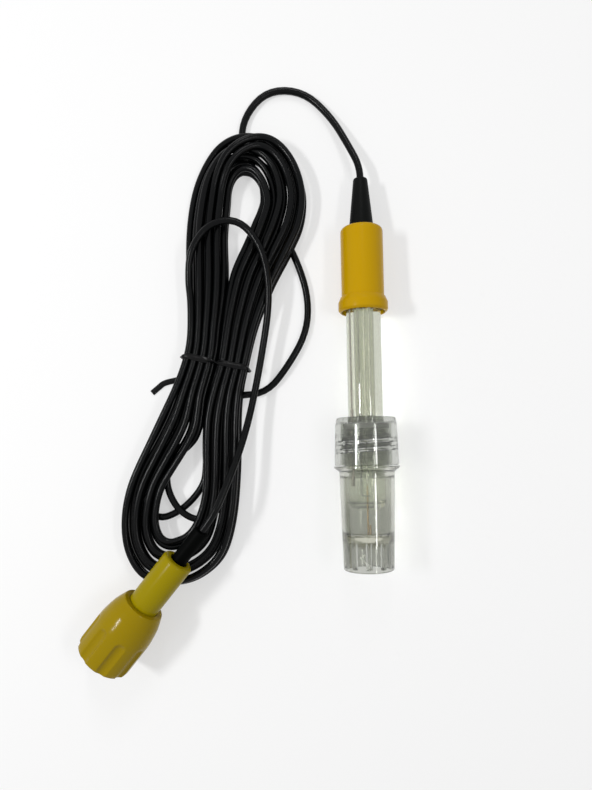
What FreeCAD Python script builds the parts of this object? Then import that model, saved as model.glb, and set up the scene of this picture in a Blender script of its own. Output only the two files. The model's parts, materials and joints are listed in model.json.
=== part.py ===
import FreeCAD, Part
import math
import os

import Sketcher
from FreeCAD import Placement, Rotation, Vector

# Redox electrode with its screw-on storage bottle, its hanked lead and its bayonet plug.
# The electrode lies on a table along Y, with the cable end at +Y and the bottle end at -Y.
# It rests on the collar of its cap and on the flange of the bottle, which is wider, so it
# leans a little. The table is Z = 0. All sizes are millimetres.

doc = FreeCAD.newDocument("redox_electrode")

DRIVING_SIZES = [
    # glass shaft and what is sealed in it
    ("shaft_diameter", 12.0, "glass shaft, outside"),
    ("shaft_wall", 1.1, "wall of the outer glass tube"),
    ("shaft_reach", 68.0, "shaft from the cap's foot to its tip"),
    ("shaft_inset", 20.0, "shaft glued inside the cap"),
    ("shaft_ground_off", 0.2, "glass ground off the glued length"),
    ("tip_floor", 2.3, "glass at the closed tip"),
    ("tip_round", 4.5, "outside radius of the tip"),
    ("chamber_round", 2.0, "radius at the foot of the outer chamber"),
    ("stem_diameter", 5.0, "inner glass stem, outside"),
    ("stem_wall", 0.8, "wall of the inner stem"),
    ("bead_height", 4.5, "solid glass bead round the platinum wire"),
    ("platinum_diameter", 0.55, "platinum wire"),
    ("platinum_reach", 10.3, "platinum wire below the tip"),
    ("platinum_fold", 4.6, "length of the folded end of the wire"),
    ("platinum_fold_pitch", 0.75, "distance between the two legs of the fold"),
    ("platinum_inset", 8.0, "platinum wire above the tip"),
    ("stem_lead_diameter", 0.7, "lead inside the stem"),
    ("frit_diameter", 1.2, "ceramic junction"),
    ("chamber_pitch_radius", 3.7, "reference wire and junction off the axis"),
    ("reference_diameter", 0.5, "bare silver reference wire"),
    ("coating_diameter", 0.95, "silver chloride coating"),
    ("coating_length", 26.0, "coated length of the reference wire"),
    ("reference_lift", 8.0, "reference wire's foot above the tip"),
    # yellow cap, its seal and the boot
    ("cap_diameter", 14.8, "barrel of the cap"),
    ("cap_length", 29.7, "cap from foot to top"),
    ("cap_round", 1.5, "radius round the cap's top"),
    ("cap_top_wall", 2.5, "top wall of the cap"),
    ("collar_diameter", 17.2, "collar at the cap's foot"),
    ("collar_height", 5.3, "foot to the step line"),
    ("collar_straight", 3.4, "foot to the start of the bevel"),
    ("collar_step", 0.35, "small step above the collar"),
    ("collar_chamfer", 0.7, "chamfer at the foot"),
    ("collar_rim", 1.2, "wall round the recess in the foot"),
    ("recess_depth", 3.0, "recess under the collar"),
    ("sealant_height", 1.4, "ring of sealant in the recess"),
    ("glue_gap", 0.05, "gap between glued pieces"),
    ("boot_waist_diameter", 6.0, "boot where it passes the cap's top"),
    ("boot_flange_diameter", 10.0, "flange of the boot inside the cap"),
    ("boot_flange_height", 1.5, "thickness of that flange"),
    ("boot_foot_diameter", 8.5, "boot where it leaves the cap"),
    ("boot_head_diameter", 4.9, "boot at its cable end"),
    ("boot_length", 17.7, "boot outside the cap"),
    ("boot_round", 0.7, "radius at the boot's cable end"),
    # storage bottle
    ("bottle_grip", 31.3, "shaft inside the bottle, tip to the bottle cap's top"),
    ("bottle_cap_length", 16.3, "bottle cap, top to lower edge"),
    ("bottle_cap_top_diameter", 20.2, "bottle cap at its top"),
    ("bottle_cap_bevel_diameter", 21.2, "bottle cap under its bevel"),
    ("bottle_cap_bevel", 2.8, "height of that bevel"),
    ("bottle_cap_foot_diameter", 22.1, "bottle cap at its lower edge"),
    ("bottle_cap_top_wall", 2.2, "top wall of the bottle cap"),
    ("shaft_gap", 0.3, "bottle cap's hole round the shaft"),
    ("ring_height", 1.6, "sealing ring"),
    ("ring_diameter", 15.6, "sealing ring, outside"),
    ("ring_gap", 0.03, "sealing ring round the shaft"),
    ("seat_gap", 0.06, "sealing ring to the faces over and under it"),
    ("neck_diameter", 15.5, "vial's neck at the thread root"),
    ("neck_wall", 1.0, "wall of the neck"),
    ("thread_pitch", 2.7, "one turn of the bottle's thread"),
    ("thread_turns", 2.5, "turns on each piece"),
    ("thread_depth", 0.8, "height of the thread ridge"),
    ("thread_foot_width", 1.3, "ridge at its foot"),
    ("thread_crest_width", 0.6, "ridge at its crest"),
    ("thread_gap", 0.2, "crest to the facing root"),
    ("thread_bite", 0.15, "ridge sunk in its own wall"),
    ("thread_lead_in", 1.0, "vial's mouth to the middle of the first turn"),
    ("flange_gap", 0.3, "bottle cap to the vial's flange"),
    ("flange_diameter", 22.5, "flange of the vial"),
    ("flange_straight", 0.6, "straight edge of the flange"),
    ("flange_bevel", 1.3, "bevel under the flange"),
    ("vial_top_diameter", 19.0, "vial under its flange"),
    ("vial_foot_diameter", 17.3, "vial at its foot"),
    ("vial_length", 35.3, "vial from the flange's top to its foot"),
    ("vial_wall", 1.7, "wall of the vial"),
    ("vial_foot_round", 0.8, "radius round the foot"),
    ("dish_rim_lift", 12.8, "foot to the rim of the dished floor"),
    ("dish_depth", 3.8, "depth of the dished floor"),
    ("dish_wall", 2.0, "thickness of the dished floor"),
    ("skirt_wall", 1.05, "wall of the hollow foot"),
    ("rib_count", 10, "ribs inside the hollow foot"),
    ("rib_diameter", 1.8, "half-round ribs"),
    ("rib_lift", 1.3, "ribs end above the foot"),
    # bayonet plug, measured from its mouth
    ("cover_diameter", 20.2, "grip of the coupling cover"),
    ("cover_mouth_diameter", 19.6, "cover at its mouth"),
    ("cover_length", 24.0, "coupling cover"),
    ("cover_straight", 13.6, "mouth to the start of the dome"),
    ("cover_mouth_bevel", 1.5, "mouth bevel"),
    ("cover_shoulder_diameter", 14.8, "rear edge of the dome"),
    ("cover_dome_diameter", 18.4, "cover halfway along its dome"),
    ("cover_dome_station", 19.6, "mouth to that place"),
    ("cover_dome_round", 18.0, "radius that smooths the dome"),
    ("cover_rear_round", 1.0, "radius round the rear edge"),
    ("cover_mouth_bore", 16.6, "open mouth of the cover"),
    ("flute_count", 8, "grip flutes"),
    ("flute_diameter", 5.4, "round cutter of a flute"),
    ("flute_depth", 0.9, "depth of a flute"),
    ("flute_length", 11.2, "mouth to the middle of the flute's round end"),
    ("neck_gap", 0.45, "cover to the handle"),
    ("ring_front", 2.0, "mouth to the bayonet ring"),
    ("bayonet_ring_length", 14.3, "bayonet ring"),
    ("bayonet_ring_diameter", 14.4, "bayonet ring, outside"),
    ("bayonet_bore", 9.8, "bayonet ring, front bore"),
    ("washer_chamber_bore", 12.2, "bayonet ring, rear chamber"),
    ("front_bore_length", 8.8, "length of the front bore"),
    ("bayonet_slot_width", 2.2, "slots for the jack's lugs"),
    ("bayonet_slot_depth", 0.9, "slots cut into the wall"),
    ("bayonet_entry", 2.0, "straight entry of a slot"),
    ("bayonet_rise", 3.6, "rise of a slot over a quarter turn"),
    ("clip_groove_depth", 0.5, "groove for the retaining clip"),
    ("clip_height", 0.6, "retaining clip"),
    ("clip_gap", 0.05, "clip in its groove"),
    ("clip_opening_deg", 40.0, "opening of the split clip"),
    ("clip_tail", 0.7, "bayonet ring behind the groove"),
    ("contact_front", 4.2, "mouth to the outer contact"),
    ("contact_diameter", 8.1, "outer contact"),
    ("contact_bore", 7.0, "outer contact, inside"),
    ("contact_slots", 4, "slots in the outer contact"),
    ("contact_slot_width", 0.5, "width of those slots"),
    ("contact_slot_length", 5.0, "length of those slots"),
    ("gasket_height", 1.1, "gasket at the root of the contact"),
    ("gasket_diameter", 9.5, "gasket, outside"),
    ("gasket_groove_depth", 0.2, "relief under the gasket"),
    ("body_flange_front", 11.2, "mouth to the body's flange"),
    ("body_flange_height", 1.2, "body's flange"),
    ("body_flange_diameter", 11.8, "body's flange"),
    ("barrel_diameter", 9.2, "barrel behind the flange"),
    ("barrel_length", 8.1, "barrel behind the flange"),
    ("spigot_diameter", 4.8, "crimp spigot"),
    ("spigot_length", 7.0, "crimp spigot"),
    ("ferrule_wall", 0.7, "crimp ferrule"),
    ("ferrule_length", 7.6, "crimp ferrule"),
    ("push_travel", 0.8, "coupling pulled towards the jack"),
    ("washer_height", 0.65, "flat washer"),
    ("washer_gap", 0.05, "washers to their neighbours"),
    ("wave_sheet", 0.3, "thickness of the wave washer"),
    ("wave_count", 3, "crests of the wave washer"),
    ("pin_diameter", 1.35, "centre contact"),
    ("pin_front", 4.9, "mouth to the tip of the centre contact"),
    ("pin_shank_diameter", 2.0, "rear of the centre contact"),
    ("insulator_front", 6.0, "mouth to the insulator's collar"),
    ("insulator_seat", 9.6, "mouth to the insulator's solid part"),
    ("insulator_bore", 4.9, "insulator's open front"),
    ("insulator_wall", 0.8, "wall of that open front"),
    ("insulator_rear", 19.4, "mouth to the insulator's rear"),
    ("handle_front", 17.2, "mouth to the handle"),
    ("handle_rear", 44.0, "mouth to the handle's end"),
    ("handle_diameter", 11.0, "handle of the plug"),
    ("handle_round", 1.6, "radius round the handle's end"),
    ("handle_bore", 6.7, "handle round the ferrule"),
    ("sleeve_seat", 8.5, "depth of the sleeve's seat in the handle"),
    ("sleeve_recess", 0.9, "recess round the sleeve"),
    ("sleeve_diameter", 5.5, "black sleeve on the cable"),
    ("sleeve_out", 13.0, "sleeve outside the handle"),
    ("sleeve_round", 0.5, "radius round the sleeve's end"),
    ("plug_tilt_deg", 6.0, "plug leans on the hank"),
    ("plug_heading_deg", 50.7, "plug's axis in plan, from +X"),
    ("plug_mouth_x", -92.3, "middle of the plug's mouth"),
    ("plug_mouth_y", -97.0, "middle of the plug's mouth"),
    ("floor_gap", 0.03, "lowest point of the plug over the table"),
    # lead
    ("cable_diameter", 2.5, "black lead"),
    ("hank_height", 7.8, "hank over the table"),
    ("hank_chamfer", 2.0, "bevel round the hank's top"),
    ("tie_width", 1.7, "twist tie"),
    ("tie_sheet", 0.6, "thickness of the twist tie"),
]

sheet = doc.addObject("Spreadsheet::Sheet", "Sizes")
for row, (alias, number, note) in enumerate(DRIVING_SIZES, start=1):
    sheet.set("A%d" % row, note)
    sheet.set("B%d" % row, str(number))
    sheet.setAlias("B%d" % row, alias)
doc.recompute()


class Length:
    """A length that carries both its value and the formula that a property is bound to."""

    def __init__(self, value, formula):
        self.value = value
        self.formula = formula

    def __float__(self):
        return float(self.value)

    def __add__(self, other):
        other = as_length(other)
        return Length(self.value + other.value, "(%s + %s)" % (self.formula, other.formula))

    def __sub__(self, other):
        other = as_length(other)
        return Length(self.value - other.value, "(%s - %s)" % (self.formula, other.formula))

    def __mul__(self, factor):
        factor = as_length(factor)
        return Length(self.value * factor.value, "(%s * %s)" % (self.formula, factor.formula))

    def __truediv__(self, factor):
        return Length(self.value / factor, "(%s / %s)" % (self.formula, factor))

    def __neg__(self):
        return Length(-self.value, "(0 - %s)" % self.formula)


def as_length(number):
    if isinstance(number, Length):
        return number
    return Length(float(number), repr(float(number)))


def size(alias):
    return Length(float(sheet.get(alias)), "Sizes." + alias)


def bind(thing, name, length):
    thing.setExpression(name, length.formula)


def turned(name, profile, rounds=()):
    """A body turned about Z. The profile is a closed outline of (radius, station) points.

    rounds lists (radius, station, fillet radius) for the corners that are rounded.
    """
    body = doc.addObject("PartDesign::Body", name + "_body")
    sketch = body.newObject("Sketcher::SketchObject", name + "_profile")
    plane = next(f for f in body.Origin.OriginFeatures if f.Role == "XZ_Plane")
    sketch.AttachmentSupport = [(plane, "")]
    sketch.MapMode = "FlatFace"
    corners = [Vector(float(r), float(z), 0) for r, z in profile]
    for here, there in zip(corners, corners[1:] + corners[:1]):
        sketch.addGeometry(Part.LineSegment(here, there), False)
    count = len(corners)
    for index in range(count):
        after = (index + 1) % count
        sketch.addConstraint(Sketcher.Constraint("Coincident", index, 2, after, 1))
    for index, (radius, station) in enumerate(profile):
        for kind, length in (("DistanceX", as_length(radius)), ("DistanceY", as_length(station))):
            number = sketch.addConstraint(
                Sketcher.Constraint(kind, -1, 1, index, 1, float(length))
            )
            sketch.renameConstraint(number, "%s%d" % (kind, index))
            sketch.setExpression("Constraints.%s%d" % (kind, index), length.formula)
    spin = body.newObject("PartDesign::Revolution", name + "_turning")
    spin.Profile = sketch
    spin.ReferenceAxis = (sketch, ["V_Axis"])
    spin.Angle = 360.0
    doc.recompute()
    last = spin
    for number, (radius, station, fillet_radius) in enumerate(rounds, start=1):
        edges = [
            "Edge%d" % (index + 1)
            for index, edge in enumerate(last.Shape.Edges)
            if is_circle_at(edge, float(radius), float(station))
        ]
        fillet = body.newObject("PartDesign::Fillet", "%s_round%d" % (name, number))
        fillet.Base = (last, edges)
        bind(fillet, "Radius", as_length(fillet_radius))
        doc.recompute()
        last = fillet
    body.Tip = last
    return body


def is_circle_at(edge, radius, station):
    if not isinstance(edge.Curve, Part.Circle):
        return False
    near = abs(edge.Curve.Radius - radius) < 1e-4 and abs(edge.Curve.Center.z - station) < 1e-4
    return near and math.hypot(edge.Curve.Center.x, edge.Curve.Center.y) < 1e-4


def rod(name, radius, low, high, x=0.0, y=0.0):
    """A plain round rod along Z, from station low to station high."""
    cylinder = doc.addObject("Part::Cylinder", name)
    bind(cylinder, "Radius", as_length(radius))
    bind(cylinder, "Height", as_length(high) - low)
    cylinder.Placement.Base = Vector(float(x), float(y), float(low))
    return cylinder


def cut(name, base, tool):
    result = doc.addObject("Part::Cut", name)
    result.Base = base
    result.Tool = tool
    return result


def joined(name, shapes):
    result = doc.addObject("Part::MultiFuse", name)
    result.Shapes = shapes
    result.Refine = False
    return result


def around(count, radius, start_deg=0.0):
    """Points evenly round the axis, each with its angle in degrees."""
    for index in range(int(round(count))):
        degrees = start_deg + 360.0 * index / int(round(count))
        angle = math.radians(degrees)
        yield degrees, radius * math.cos(angle), radius * math.sin(angle)


NODES = []


def finished(thing, label, place):
    """Names a piece and puts it where it lies."""
    thing.Label = label
    thing.Placement = place
    NODES.append(thing)


# Stations of the electrode along its own axis: 0 is the foot of the yellow cap, positive
# towards the cable and negative towards the bottle.
shaft_radius = size("shaft_diameter") / 2
tip = -size("shaft_reach")
shaft_top = size("shaft_inset")
seat_radius = shaft_radius - size("shaft_ground_off")
seat_foot = size("recess_depth") - size("sealant_height")
cap_bore = seat_radius + size("glue_gap")
cap_radius = size("cap_diameter") / 2
collar_radius = size("collar_diameter") / 2
recess_radius = collar_radius - size("collar_rim")
cable_radius = size("cable_diameter") / 2
boot_seat = size("cap_length") - size("cap_top_wall")
boot_foot = boot_seat - size("boot_flange_height")
cable_foot = boot_foot - 2
boot_top = size("cap_length") + size("boot_length")
bottle_top = tip + size("bottle_grip")
bottle_ceiling = bottle_top - size("bottle_cap_top_wall")
bottle_edge = bottle_top - size("bottle_cap_length")
ring_top = bottle_ceiling - size("seat_gap")
ring_foot = ring_top - size("ring_height")
vial_mouth = ring_foot - size("seat_gap")
vial_flange = bottle_edge - size("flange_gap")
vial_foot = vial_flange - size("vial_length")
neck_radius = size("neck_diameter") / 2
bottle_bore = neck_radius + size("thread_depth") + size("thread_gap")
flange_radius = size("flange_diameter") / 2

# The shaft lies on the collar and on the vial's flange, so its axis drops towards the cable.
lean = math.atan2(
    float(flange_radius) - float(collar_radius),
    float(size("collar_straight")) - float(vial_flange),
)
axis_height = float(collar_radius) * math.cos(lean) + float(size("collar_straight")) * math.sin(lean)
far_end = float(boot_top) * math.cos(lean)
near_end = float(vial_foot) * math.cos(lean) - float(size("vial_foot_diameter")) / 2 * math.sin(lean)
electrode_place = Placement(
    Vector(0, -(far_end + near_end) / 2, axis_height),
    Rotation(Vector(1, 0, 0), -90 - math.degrees(lean)),
)

# Stations of the plug along its own axis: 0 is the mouth, positive towards the cable.
handle_radius = size("handle_diameter") / 2
cover_radius = size("cover_diameter") / 2
bayonet_ring_radius = size("bayonet_ring_diameter") / 2
ring_rear = size("ring_front") + size("bayonet_ring_length")
shoulder = size("ring_front") + size("front_bore_length")
groove_rear = ring_rear - size("clip_tail")
groove_front = groove_rear - size("clip_height") - size("clip_gap") * 2
clip_front = groove_front + size("clip_gap")
washer_rear = clip_front - size("washer_gap")
washer_front = washer_rear - size("washer_height")
wave_rear = washer_front - size("washer_gap")
body_flange_rear = size("body_flange_front") + size("body_flange_height")
wave_front = body_flange_rear + size("washer_gap")
barrel_rear = body_flange_rear + size("barrel_length")
spigot_rear = barrel_rear + size("spigot_length")
sleeve_front = size("handle_rear") - size("sleeve_seat")
sleeve_rear = size("handle_rear") + size("sleeve_out")

plug_tilt = math.radians(float(size("plug_tilt_deg")))
plug_heading = math.radians(float(size("plug_heading_deg")))
plug_direction = Vector(
    math.cos(plug_heading) * math.cos(plug_tilt),
    math.sin(plug_heading) * math.cos(plug_tilt),
    math.sin(plug_tilt),
)
mouth_height = float(cover_radius) * math.cos(plug_tilt) - float(size("cover_mouth_bevel")) * math.sin(plug_tilt)
plug_place = Placement(
    Vector(
        float(size("plug_mouth_x")),
        float(size("plug_mouth_y")),
        mouth_height + float(size("floor_gap")),
    ),
    Rotation(Vector(0, 0, 1), plug_direction),
)

# Glass shaft: an outer tube closed at the tip, with the stem sealed into it by a bead that
# carries the platinum wire.
stem_radius = size("stem_diameter") / 2
platinum_radius = size("platinum_diameter") / 2
bead_top = tip + size("bead_height")
chamber_floor = tip + size("tip_floor")
chamber_radius = shaft_radius - size("shaft_wall")
stem_bore = stem_radius - size("stem_wall")
glass_blank = turned(
    "glass_blank",
    [
        (platinum_radius, tip),
        (shaft_radius, tip),
        (shaft_radius, seat_foot),
        (seat_radius, seat_foot),
        (seat_radius, shaft_top),
        (chamber_radius, shaft_top),
        (chamber_radius, chamber_floor),
        (stem_radius, chamber_floor),
        (stem_radius, shaft_top),
        (stem_bore, shaft_top),
        (stem_bore, bead_top),
        (platinum_radius, bead_top),
    ],
    [
        (shaft_radius, tip, size("tip_round")),
        (chamber_radius, chamber_floor, size("chamber_round")),
    ],
)
chamber_pitch = size("chamber_pitch_radius")
frit_radius = size("frit_diameter") / 2
frit_foot = tip + 0.6
frit_top = chamber_floor + 0.6
frit_hole = rod("frit_hole", frit_radius, tip - 1, frit_top, x=chamber_pitch)
glass_body = cut("glass_body", glass_blank, frit_hole)
finished(glass_body, "glass_body", electrode_place)

ceramic_junction = rod("ceramic_junction", frit_radius, frit_foot, frit_top, x=chamber_pitch)
finished(
    ceramic_junction,
    "ceramic_junction",
    electrode_place.multiply(Placement(Vector(float(chamber_pitch), 0, float(frit_foot)), Rotation())),
)

# Platinum wire, straight through the bead and folded back on itself at its free end.
fold_middle = tip - size("platinum_reach") + size("platinum_fold_pitch") / 2
fold_radius = size("platinum_fold_pitch") / 2
platinum_top = tip + size("platinum_inset")
long_leg = rod("platinum_long_leg", platinum_radius, fold_middle, platinum_top)
short_leg = rod(
    "platinum_short_leg",
    platinum_radius,
    fold_middle,
    fold_middle + size("platinum_fold"),
    x=size("platinum_fold_pitch"),
)
fold = doc.addObject("Part::Torus", "platinum_fold")
bind(fold, "Radius1", fold_radius)
bind(fold, "Radius2", platinum_radius)
fold.Angle3 = 180.0
fold.Placement = Placement(Vector(float(fold_radius), 0, float(fold_middle)), Rotation(Vector(1, 0, 0), -90))
sensing_wire = joined("sensing_wire", [long_leg, short_leg, fold])
finished(sensing_wire, "sensing_wire", electrode_place)

lead_end = cable_foot - 1.2
stem_lead = rod("stem_lead_wire", size("stem_lead_diameter") / 2, platinum_top, lead_end)
finished(
    stem_lead,
    "stem_lead_wire",
    electrode_place.multiply(Placement(Vector(0, 0, float(platinum_top)), Rotation())),
)

reference_foot = tip + size("reference_lift")
coating_top = reference_foot + size("coating_length")
bare_wire = rod("bare_reference", size("reference_diameter") / 2, reference_foot, lead_end, x=-chamber_pitch)
coated_wire = rod("coated_reference", size("coating_diameter") / 2, reference_foot, coating_top, x=-chamber_pitch)
reference_wire = joined("reference_wire", [bare_wire, coated_wire])
finished(reference_wire, "reference_wire", electrode_place)

# Yellow cap, hollow inside, with a recess round the glass in its foot.
boot_waist = size("boot_waist_diameter") / 2
boot_hole = boot_waist + size("glue_gap")
cap = turned(
    "cap",
    [
        (recess_radius, 0),
        (collar_radius - size("collar_chamfer"), 0),
        (collar_radius, size("collar_chamfer")),
        (collar_radius, size("collar_straight")),
        (cap_radius + size("collar_step"), size("collar_height")),
        (cap_radius, size("collar_height")),
        (cap_radius, size("cap_length")),
        (boot_hole, size("cap_length")),
        (boot_hole, boot_seat),
        (cap_bore, boot_seat),
        (cap_bore, size("recess_depth")),
        (recess_radius, size("recess_depth")),
    ],
    [(cap_radius, size("cap_length"), size("cap_round"))],
)
finished(cap, "cap", electrode_place)

tube_seal = turned(
    "tube_seal",
    [
        (seat_radius, seat_foot),
        (recess_radius, seat_foot),
        (recess_radius, size("recess_depth")),
        (seat_radius, size("recess_depth")),
    ],
)
finished(tube_seal, "tube_seal", electrode_place)

potting_blank = rod("potting_blank", cap_bore, shaft_top, boot_foot)
stem_lead_hole = rod("stem_lead_hole", size("stem_lead_diameter") / 2, shaft_top - 1, lead_end)
reference_hole = rod(
    "reference_hole", size("reference_diameter") / 2, shaft_top - 1, lead_end, x=-chamber_pitch
)
cable_hole = rod("cable_hole", cable_radius, cable_foot, boot_foot + 1)
potting_holes = joined("potting_holes", [stem_lead_hole, reference_hole, cable_hole])
potting_plug = cut("potting_plug", potting_blank, potting_holes)
finished(potting_plug, "potting_plug", electrode_place)

boot_flange = size("boot_flange_diameter") / 2
boot_head = size("boot_head_diameter") / 2
strain_relief = turned(
    "strain_relief",
    [
        (cable_radius, boot_foot),
        (boot_flange, boot_foot),
        (boot_flange, boot_seat),
        (boot_waist, boot_seat),
        (boot_waist, size("cap_length")),
        (size("boot_foot_diameter") / 2, size("cap_length")),
        (boot_head, boot_top),
        (cable_radius, boot_top),
    ],
    [(boot_head, boot_top, size("boot_round"))],
)
finished(strain_relief, "strain_relief", electrode_place)

cable_end = rod("cable_boot_end", cable_radius, cable_foot, boot_top)
finished(
    cable_end,
    "cable_boot_end",
    electrode_place.multiply(Placement(Vector(0, 0, float(cable_foot)), Rotation())),
)


# Threads of the bottle: right-handed ridges swept along a helix. The two ridges are half a
# turn's advance apart, so they stay clear of each other at every turn of the vial.
def thread_ridge(name, wall_radius, crest_radius, first_turn):
    pitch = float(size("thread_pitch"))
    height = pitch * float(size("thread_turns"))
    outward = 1 if float(crest_radius) > float(wall_radius) else -1
    foot_radius = float(wall_radius) - outward * float(size("thread_bite"))
    half_foot = float(size("thread_foot_width")) / 2
    half_crest = float(size("thread_crest_width")) / 2
    path = Part.makeHelix(pitch, height, foot_radius)
    outline = Part.makePolygon(
        [
            Vector(foot_radius, 0, -half_foot),
            Vector(float(crest_radius), 0, -half_crest),
            Vector(float(crest_radius), 0, half_crest),
            Vector(foot_radius, 0, half_foot),
            Vector(foot_radius, 0, -half_foot),
        ]
    )
    shape = Part.Wire(path.Edges).makePipeShell([outline], True, True)
    shape.translate(Vector(0, 0, float(first_turn) - height))
    ridge = doc.addObject("Part::Feature", name)
    ridge.Shape = shape
    return ridge


male_first_turn = vial_mouth - size("thread_lead_in")
female_first_turn = male_first_turn - size("thread_pitch") / 2
bottle_hole = shaft_radius + size("shaft_gap")
bottle_cap_blank = turned(
    "bottle_cap_blank",
    [
        (bottle_hole, bottle_top),
        (size("bottle_cap_top_diameter") / 2, bottle_top),
        (size("bottle_cap_bevel_diameter") / 2, bottle_top - size("bottle_cap_bevel")),
        (size("bottle_cap_foot_diameter") / 2, bottle_edge),
        (bottle_bore, bottle_edge),
        (bottle_bore, bottle_ceiling),
        (bottle_hole, bottle_ceiling),
    ],
    [(size("bottle_cap_top_diameter") / 2, bottle_top, 0.5)],
)
female_ridge = thread_ridge(
    "female_ridge", bottle_bore, bottle_bore - size("thread_depth"), female_first_turn
)
bottle_cap = joined("bottle_cap", [bottle_cap_blank, female_ridge])
finished(bottle_cap, "bottle_cap", electrode_place)

ring_bore = shaft_radius + size("ring_gap")
bottle_seal = turned(
    "bottle_seal",
    [
        (ring_bore, ring_foot),
        (size("ring_diameter") / 2, ring_foot),
        (size("ring_diameter") / 2, ring_top),
        (ring_bore, ring_top),
    ],
)
finished(bottle_seal, "bottle_seal", electrode_place)

neck_bore = neck_radius - size("neck_wall")
vial_top_radius = size("vial_top_diameter") / 2
vial_foot_radius = size("vial_foot_diameter") / 2
vial_top = vial_flange - size("flange_straight") - size("flange_bevel")
vial_bore = vial_top_radius - size("vial_wall")
dish_rim = vial_foot + size("dish_rim_lift")
dish_radius = vial_foot_radius - size("skirt_wall") - 0.2
skirt_bore = vial_foot_radius - size("skirt_wall")
dish_under = dish_rim - size("dish_wall")
vial_blank = turned(
    "vial_blank",
    [
        (neck_bore, vial_mouth),
        (neck_radius, vial_mouth),
        (neck_radius, vial_flange),
        (flange_radius, vial_flange),
        (flange_radius, vial_flange - size("flange_straight")),
        (vial_top_radius, vial_top),
        (vial_foot_radius, vial_foot),
        (skirt_bore, vial_foot),
        (skirt_bore, dish_under),
        (skirt_bore * 0.75, dish_under - size("dish_depth") * 0.6),
        (skirt_bore * 0.4, dish_under - size("dish_depth") * 0.92),
        (0, dish_under - size("dish_depth")),
        (0, dish_rim - size("dish_depth")),
        (dish_radius * 0.4, dish_rim - size("dish_depth") * 0.92),
        (dish_radius * 0.75, dish_rim - size("dish_depth") * 0.6),
        (dish_radius, dish_rim),
        (vial_bore, vial_top - 2),
        (neck_bore, vial_top),
    ],
    [(vial_foot_radius, vial_foot, size("vial_foot_round"))],
)
male_ridge = thread_ridge("male_ridge", neck_radius, neck_radius + size("thread_depth"), male_first_turn)
foot_ribs = []
for degrees, x, y in around(float(size("rib_count")), float(skirt_bore), 12.0):
    foot_ribs.append(
        rod(
            "foot_rib_%d" % int(degrees),
            size("rib_diameter") / 2,
            vial_foot + size("rib_lift"),
            dish_rim - size("dish_wall") * 0.9,
            x=x,
            y=y,
        )
    )
vial = joined("vial", [vial_blank, male_ridge] + foot_ribs)
finished(vial, "vial", electrode_place)

# Bayonet plug. The body carries the slotted outer contact; the insulator holds the centre
# contact; the bayonet ring turns on the body behind its flange and drives the yellow cover.
contact_radius = size("contact_diameter") / 2
contact_bore = size("contact_bore") / 2
barrel_radius = size("barrel_diameter") / 2
spigot_radius = size("spigot_diameter") / 2
spigot_bore = spigot_radius - 0.7
gasket_front = size("body_flange_front") - size("gasket_height")
gasket_bore = contact_radius - size("gasket_groove_depth")
body_flange = size("body_flange_diameter") / 2
plug_body_blank = turned(
    "plug_body_blank",
    [
        (contact_bore, size("contact_front")),
        (contact_radius, size("contact_front")),
        (contact_radius, gasket_front),
        (gasket_bore, gasket_front),
        (gasket_bore, size("body_flange_front")),
        (body_flange, size("body_flange_front")),
        (body_flange, body_flange_rear),
        (barrel_radius, body_flange_rear),
        (barrel_radius, barrel_rear),
        (spigot_radius, barrel_rear),
        (spigot_radius, spigot_rear),
        (spigot_bore, spigot_rear),
        (spigot_bore, size("insulator_rear")),
        (contact_bore, size("insulator_rear")),
    ],
)
contact_cutters = []
for degrees, x, y in around(float(size("contact_slots")), float(contact_bore), 45.0):
    cutter = doc.addObject("Part::Box", "contact_slot_%d" % int(degrees))
    bind(cutter, "Length", contact_radius)
    bind(cutter, "Width", size("contact_slot_width"))
    bind(cutter, "Height", size("contact_slot_length") + 1)
    cutter.Placement = Placement(
        Vector(0, 0, float(size("contact_front")) - 1), Rotation(Vector(0, 0, 1), degrees)
    ).multiply(Placement(Vector(float(contact_bore) - 0.6, -float(size("contact_slot_width")) / 2, 0), Rotation()))
    contact_cutters.append(cutter)
plug_body = cut("plug_body", plug_body_blank, joined("contact_slots_all", contact_cutters))
finished(plug_body, "plug_body", plug_place)

plug_gasket = turned(
    "plug_gasket",
    [
        (gasket_bore, gasket_front),
        (size("gasket_diameter") / 2, gasket_front),
        (size("gasket_diameter") / 2, size("body_flange_front")),
        (gasket_bore, size("body_flange_front")),
    ],
)
finished(plug_gasket, "plug_gasket", plug_place)

pin_radius = size("pin_diameter") / 2
pin_shank = size("pin_shank_diameter") / 2
open_front = size("insulator_bore") / 2
plug_insulator = turned(
    "plug_insulator",
    [
        (open_front, size("insulator_front")),
        (open_front + size("insulator_wall"), size("insulator_front")),
        (open_front + size("insulator_wall"), size("insulator_seat")),
        (contact_bore, size("insulator_seat")),
        (contact_bore, size("insulator_rear")),
        (pin_shank, size("insulator_rear")),
        (pin_shank, size("insulator_seat") + 1),
        (open_front, size("insulator_seat") + 1),
    ],
)
finished(plug_insulator, "plug_insulator", plug_place)

centre_pin = turned(
    "centre_pin",
    [
        (0, size("pin_front")),
        (pin_radius, size("pin_front")),
        (pin_radius, size("insulator_seat") + 1),
        (pin_shank, size("insulator_seat") + 1),
        (pin_shank, size("insulator_rear")),
        (0, size("insulator_rear")),
    ],
    [(pin_radius, size("pin_front"), 0.5)],
)
finished(centre_pin, "centre_pin", plug_place)

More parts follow.
